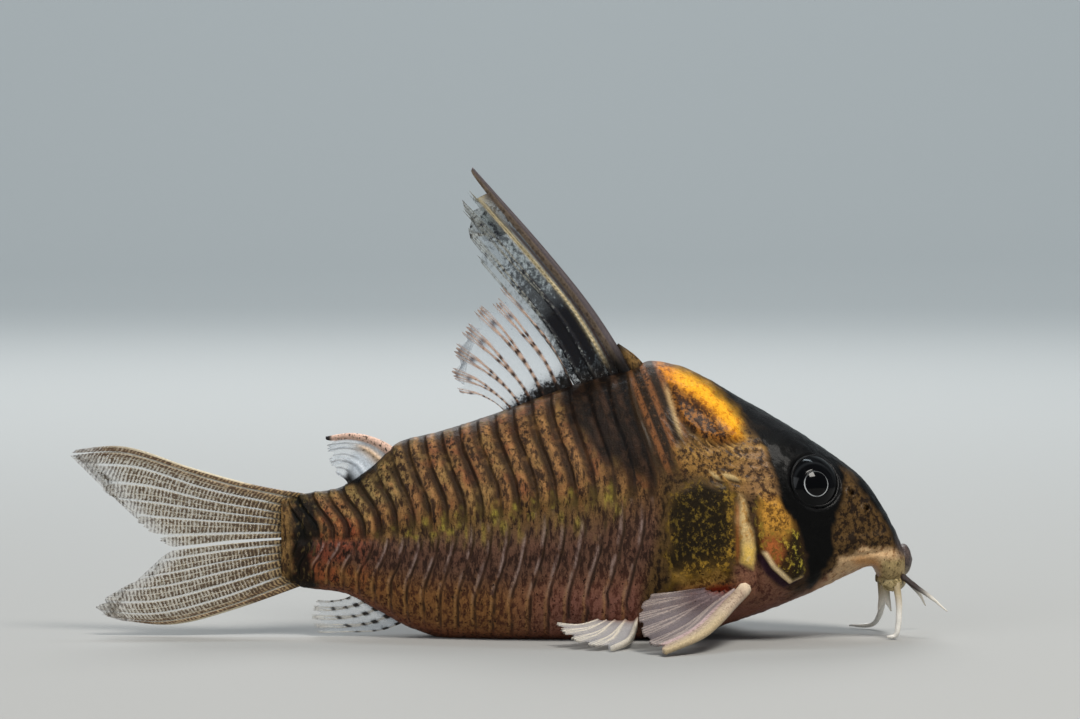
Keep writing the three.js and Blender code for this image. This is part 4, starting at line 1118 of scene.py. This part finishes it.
def dorsal_rear_look(u, t, ray, spot):
    """Clear web on rays with brown dashes, spots near their tips and a black fuzzy root."""
    band = ease(ray, 0.3, 0.75)
    coat = Coat(spot, (186, 196, 206), 0.14)
    coat.lay((196, 164, 142), band, (120, 84, 66), 0.3)
    marks = bars(t, 0.085, 0.42, spot, 3) * band * ease(t, 0.72, 0.6)
    coat.lay((56, 38, 30), marks)
    tips = near(t, 0.8, 0.055) + 0.8 * near(t, 0.93, 0.04)
    tips = np.clip(tips, 0, 1) * on_ray(u, 0.3)
    coat.lay((70, 66, 76), tips)
    fuzz = ease(t, 0.36, 0.12)
    coat.lay((40, 34, 26), fuzz * 0.7, (12, 10, 8), 0.4 + 0.6 * fuzz, fuzz)
    shown = 0.14 + 0.55 * band * (1 - 0.5 * ease(t, 0.6, 1)) + 0.4 * marks + 0.6 * tips
    coat.alpha = np.clip(shown + 0.8 * ease(t, 0.3, 0.06), 0, 1)
    return coat


def adipose_look(u, t, ray, spot):
    """Pinkish spine, clear web with grey streaks and a black wedge at the root."""
    coat = Coat(spot, (196, 204, 212), 0.16)
    streaks = ease(np.sin(u * 15 + 3 * t), 0.5, 0.95) * ease(t, 0.35, 0.5)
    coat.lay((100, 98, 100), streaks * 0.7)
    bone = ease(u, 0.6, 0.35)
    coat.lay((222, 186, 166), bone, (96, 70, 52), 0.3, 0.3)
    coat.lay((204, 176, 146), ridge(u, 1.0, 0.3) * ease(t, 0.7, 0.3), UMBER, 0.3)
    coat.lay(JET, ease(t, 0.6, 0.4) * ease(u, 2.2, 2.8))
    tip = ease(t, 0.9, 0.96) * ease(u, 0.7, 0.4)
    coat.lay((40, 36, 38), tip)
    shown = 0.16 + bone + 0.3 * streaks + 0.8 * ease(t, 0.6, 0.3) + 0.25 * ease(ray, 0.3, 0.8)
    coat.alpha = np.clip(shown, 0, 1)
    return coat


def anal_look(u, t, ray, spot):
    """Clear bluish web, dark dashes by the root and a row of spots further out."""
    band = ease(ray, 0.3, 0.75)
    coat = Coat(spot, (200, 208, 214), 0.2)
    coat.lay((206, 200, 188), band, (120, 110, 100), 0.25)
    dashes = bars(t, 0.16, 0.45, spot, 8) * ease(t, 0.55, 0.42)
    marks = np.maximum(dashes, near(t, 0.66, 0.06)) * on_ray(u, 0.4)
    coat.lay((44, 38, 34), ease(marks, 0.2, 0.6))
    coat.lay((150, 92, 66), ease(t, 0.16, 0.04), UMBER, 0.3)
    coat.alpha = np.clip(0.2 + 0.45 * band + 0.6 * marks + 0.8 * ease(t, 0.25, 0.1), 0, 1)
    return coat


def pelvic_look(u, t, ray, spot):
    """White frayed fin with a brown root."""
    band = ease(ray, 0.2, 0.7)
    coat = Coat(spot, (214, 212, 214), np.clip(0.4 + 0.45 * band - 0.2 * ease(t, 0.7, 1), 0, 1))
    coat.lay((228, 220, 204), band)
    root = ease(t, 0.4, 0.16)
    coat.lay((120, 78, 56), root, (60, 38, 28), 0.45)
    coat.alpha = np.clip(coat.alpha + 0.6 * root, 0, 1)
    return coat


def pectoral_look(u, t, ray, spot):
    """Stout cream spine, a grey-lilac web stained dark near the root."""
    band = ease(ray, 0.2, 0.7)
    coat = Coat(spot, (150, 138, 140), 0.34)
    coat.lay((168, 154, 146), band, (124, 108, 104), 0.42)
    stain = ease(t, 0.75, 0.35) * ease(u, 0.8, 1.4)
    coat.lay((110, 92, 96), 0.75 * stain, (64, 48, 50), 0.42, 0.1)
    root = ease(t, 0.24, 0.06)
    coat.lay((120, 60, 40), root * ease(u, 0.9, 1.5), (50, 26, 20), 0.5)
    spine = ease(u, 0.78, 0.6)
    coat.lay((186, 166, 144), spine, (150, 128, 112), 0.4)
    coat.lay((176, 158, 116), ease(u, 0.22, 0) * ease(t, 0.35, 0.6) * 0.6)
    coat.lay((186, 160, 160), spine * ease(u, 0.35, 0.6), (140, 116, 112), 0.4)
    coat.lay((226, 206, 178), ease(t, 0.2, 0.08) * spine)
    shown = 0.36 + 0.3 * band + spine + 0.5 * ease(t, 0.45, 0.1)
    coat.alpha = np.clip(shown - 0.12 * ease(t, 0.7, 1) * (1 - spine), 0, 1)
    return coat


def make_fins():
    """All fins, the paired ones on both sides."""
    fin("dorsal_front", DORSAL_FRONT, dorsal_front_look, ["fin_dorsal_front"],
        spine=0.5, edge=0.5, notch=0.14)
    fin("dorsal_rear", DORSAL_REAR, dorsal_rear_look, ["fin_dorsal_rear"])
    fin("adipose", ADIPOSE, adipose_look, ["fin_adipose"], spine=0.5, edge=0.3)
    fin("anal", ANAL, anal_look, ["fin_anal"])
    for half, rays in (("upper", CAUDAL_UPPER), ("lower", CAUDAL_LOWER[::-1])):
        fin(f"caudal_{half}", rays, caudal_look, [f"fin_caudal_{half}"],
            ribs=broad_ribs, edge=0.25, root=0.05, web=TAIL_WEB)
    for word, side in SIDES.items():
        turn = np.array((1, side, 1))
        for kind, rays, look, spine, edge, ragged in (
            ("pectoral", PECTORAL, pectoral_look, 0.62, 0.6, 0.3),
            ("pelvic", PELVIC, pelvic_look, 0.3, 0.0, 0.7),
        ):
            turned = [np.array(ray) * turn for ray in rays]
            fin(f"{kind}_{word}", turned, look, [f"fin_{kind}_{word}"],
                spine=spine, edge=edge, root=0.06, notch=0.03, ragged=ragged)


# Eyes, lips, spinelet and barbels


def make_eye(word, side):
    """Dark glossy ball with a thin silver ring round the pupil, and painted light on both."""
    seat = EyeSeat(side)
    aim = np.array(((EYE.x + 0.13 - seat.centre[0]) / seat.ball,
                    0, (EYE.z - 0.12 - seat.centre[2]) / seat.ball))
    axis = aim + np.array((0, side * math.sqrt(1 - aim @ aim), 0))
    across = np.cross(axis, (0, 0, 1))
    across /= np.linalg.norm(across)
    up = np.cross(across, axis)
    ring = 0.355
    tilt = np.concatenate((
        np.linspace(0.01, 0.32, 14), np.linspace(0.325, 0.39, 14), np.linspace(0.4, 1.2, 44),
        np.linspace(1.25, math.pi, 18)))
    turn = np.linspace(0, 2 * math.pi, 96, endpoint=False)
    radial = across * np.cos(turn)[:, None] + up * np.sin(turn)[:, None]
    unit = np.cos(tilt)[:, None, None] * axis + np.sin(tilt)[:, None, None] * radial[None]
    bulge = 0.08 * ease(tilt, 0.6, 0)[:, None, None]
    groove = 0.03 * near(tilt, ring + 0.03, 0.04)[:, None, None]
    points = seat.centre + unit * (seat.ball + bulge - groove)
    tilts = np.broadcast_to(tilt[:, None], points.shape[:2])
    turns = np.broadcast_to(turn[None], points.shape[:2])
    coat = Coat(points, (4, 4, 5))
    # painted light: the ring's own silver is painted brighter below and at the sides, dim on top
    low = 0.12 + 0.8 * ease(np.abs(np.cos(turns)) - 0.7 * np.sin(turns), 0.3, 1.25)
    coat.lay((222, 226, 228), near(tilts, ring, 0.02) * low)
    # painted reflection: a faint grey arc over the upper half of the ball
    coat.lay((40, 42, 44), 0.5 * near(tilts, 0.66, 0.08) * ease(np.sin(turns), -0.6, 0.8))
    ball = grid_piece(f"eyeball_{word}", points, coat, EYE_GLOSS)
    belongs(ball, "eye", f"eye_{word}")


def make_eye_rim(word, side):
    """Rim of soft skin that follows the skin round the ball."""
    seat = EyeSeat(side)
    spin = np.linspace(0, 2 * math.pi, 97)
    first = np.cross(seat.outward, (0, 1, 0))
    first /= np.linalg.norm(first)
    second = np.cross(seat.outward, first)
    route = seat.middle + (seat.opening + 0.1) * (
        first * np.cos(spin)[:, None] + second * np.sin(spin)[:, None])
    route[:, 1] = side * (flank_y(route[:, 0], route[:, 2]) + 0.02)
    rim = tube(f"eye_rim_{word}", route, [(0, 0.13), (1, 0.13)], eye_rim_coat, HEAD_SKIN,
               steps=150, around=12)
    belongs(rim, "skin")


def eye_rim_coat(points, t):
    """Black, a little greyer above."""
    coat = Coat(points, (7, 7, 8))
    coat.lay((24, 24, 25), 0.5 * ease(points[..., 2], EYE.z + 0.6, EYE.z + 1.8))
    return coat


LIP = [
    (33.6, 1.3, 5.3), (34.3, 2.0, 5.0), (35.0, 1.5, 5.0), (35.3, 0, 5.0),
    (35.0, -1.5, 5.0), (34.3, -2.0, 5.0), (33.6, -1.3, 5.3),
]
SPINELET = [(12.5, 0, 22.9), (11.9, 0, 23.8), (11.1, 0, 25.0), (10.0, 0, 26.4)]
BARBELS = {
    "upper": {
        "right": [(35.5, -1.9, 5.6), (36.9, -2.9, 4.6), (38.2, -3.8, 3.7), (39.4, -4.6, 2.7)],
        "left": [(35.5, 1.9, 5.6), (36.6, 3.2, 4.5), (37.6, 4.7, 3.3), (38.2, 6.0, 2.2)],
        "radii": [(0, 0.3), (0.5, 0.2), (1, 0.05)],
        "colours": ((58, 48, 44), MILK),
        "change": (0.3, 0.75),
    },
    "lower": {
        "right": [
            (35.0, -2.2, 5.0), (35.2, -2.9, 3.0), (35.1, -3.1, 1.1), (34.8, -3.1, 0.34),
            (34.1, -3.2, 0.28),
        ],
        "left": [
            (34.4, 2.2, 5.0), (34.2, 3.6, 3.2), (33.9, 5.0, 1.4), (33.2, 6.2, 0.42),
            (31.3, 7.2, 0.28),
        ],
        "radii": [(0, 0.34), (0.5, 0.25), (0.85, 0.18), (1, 0.08)],
        "colours": (BEIGE, (226, 222, 214)),
        "change": (0.05, 0.4),
    },
    "chin": {
        "right": [(34.0, -0.9, 5.0), (34.2, -1.2, 3.6), (34.6, -1.3, 2.4)],
        "left": [(33.9, 0.9, 5.0), (33.9, 1.3, 3.4), (33.6, 1.5, 2.2)],
        "radii": [(0, 0.45), (0.6, 0.28), (1, 0.06)],
        "colours": (BEIGE, MILK),
        "change": (0.1, 0.7),
    },
}


def lobe_coat(points):
    """Mauve-grey, paler below."""
    coat = Coat(points, (84, 72, 68), fleck=(46, 38, 38), share=0.4, ink=0.12)
    coat.lay((150, 136, 112), ease(points[..., 2], 6.7, 5.9), (90, 76, 60), 0.4)
    return coat


def lip_coat(points, t):
    """Speckled yellowish beige."""
    return Coat(points, (172, 154, 112), fleck=(112, 98, 64), share=0.42, ink=0.22)


def spinelet_coat(points, t):
    """Olive-brown with a dark foot."""
    coat = Coat(points, (120, 92, 52), fleck=(52, 38, 24), share=0.5, ink=0.2)
    coat.lay((34, 25, 18), ease(t, 0.6, 0.35), JET, 0.4)
    coat.lay((50, 40, 28), ease(t, 0.7, 0.95))
    return coat


def barbel_coat(colours, change):
    """Paint that turns from the first colour to the second over that stretch."""
    def coat_for(points, t):
        coat = Coat(points, colours[0])
        coat.lay(colours[1], ease(t, *change))
        return coat
    return coat_for


def make_mouth():
    """Snout lobe, lips and barbels, and the spinelet before the dorsal fin."""
    lobe = lump("snout_lobe", (35.72, 0, 6.95), (0.78, 1.75, 1.45), lobe_coat, HEAD_SKIN, 0.07)
    belongs(lobe, "skin")
    lips = tube("lips", LIP, [(0, 0.4), (0.2, 0.74), (0.5, 0.68), (0.8, 0.74), (1, 0.4)],
                lip_coat, HEAD_SKIN, steps=120, around=28, rough=0.1)
    belongs(lips, "skin")
    spinelet = tube("spinelet", SPINELET, [(0, 0.9), (0.4, 0.82), (0.7, 0.6), (1, 0.1)],
                    spinelet_coat, SKIN, steps=40, flat=0.75)
    belongs(spinelet, "skin")
    for kind, barbel in BARBELS.items():
        for word in SIDES:
            piece = tube(f"barbel_{kind}_{word}", barbel[word], barbel["radii"],
                         barbel_coat(barbel["colours"], barbel["change"]), BARBEL_SKIN, flat=0.85)
            belongs(piece, "barbel", f"barbel_{kind}_{word}")


# Floor, light and camera


def make_floor():
    """Pale floor, swept up behind in a round bend."""
    bm = bmesh.new()
    bmesh.ops.create_grid(bm, x_segments=2, y_segments=60, size=1)
    near_edge, length, start, bend = -1.5, 4.6, 0.7, 0.6
    for vertex in bm.verts:
        run = near_edge + (vertex.co.y + 1) / 2 * length
        turn = min(max(run - start, 0) / bend, math.pi / 2)
        rise = max(run - start - bend * math.pi / 2, 0)
        vertex.co = (vertex.co.x * 3, min(run, start) + bend * math.sin(turn),
                     bend * (1 - math.cos(turn)) + rise)
    matte = Finish("pale_floor", 0.85, gleam=0.2)
    matte.surface.inputs["Base Color"].default_value = (0.38, 0.38, 0.37, 1)
    finish_piece("floor", bm, matte.material)


def aimed(name, data, place, target):
    """Put a lamp or camera at a place, facing the target."""
    holder = bpy.data.objects.new(name, data)
    holder.location = place
    holder.rotation_euler = (Vector(target) - Vector(place)).to_track_quat("-Z", "Y").to_euler()
    bpy.context.collection.objects.link(holder)
    return holder


def lamp(name, place, size, watts, colour=(1, 1, 1), target=(0.005, 0, 0.015)):
    """Square soft lamp."""
    light = bpy.data.lights.new(name, "AREA")
    light.size, light.energy, light.color = size, watts, colour
    aimed(name, light, place, target)


def make_light():
    """Soft light from above, a wash of light on the wall and a dim pale room."""
    lamp("key", (0.2, -0.3, 0.5), 0.2, 3.5, (1, 0.96, 0.9))
    lamp("fill", (-0.4, -0.45, 0.25), 0.4, 1.1, (0.92, 0.96, 1))
    lamp("rim", (-0.05, 0.45, 0.4), 0.3, 1.5)
    lamp("wall_wash", (0, 0.35, 1.0), 0.6, 12.5, (0.8, 0.92, 1), (0, 1.5, 0.35))
    world = bpy.data.worlds.new("pale_room")
    world.use_nodes = True
    sky = world.node_tree.nodes["Background"].inputs
    sky["Color"].default_value = (0.72, 0.8, 0.9, 1)
    sky["Strength"].default_value = 0.2
    bpy.context.scene.world = world
    bpy.context.scene.view_settings.view_transform = "Standard"


def make_camera():
    """Camera at the right side, a little above the fish, that sees that width at the fish."""
    seen_width = 0.0972
    target, place = Vector((0.003, 0, 0.025)), Vector((0.003, -0.5, 0.05))
    lens = bpy.data.cameras.new("camera")
    lens.sensor_width = 36
    lens.lens = lens.sensor_width * (target - place).length / seen_width
    bpy.context.scene.camera = aimed("camera", lens, place, target)


make_skin()
make_fins()
for word, side in SIDES.items():
    make_eye(word, side)
    make_eye_rim(word, side)
make_mouth()
make_floor()
make_light()
make_camera()
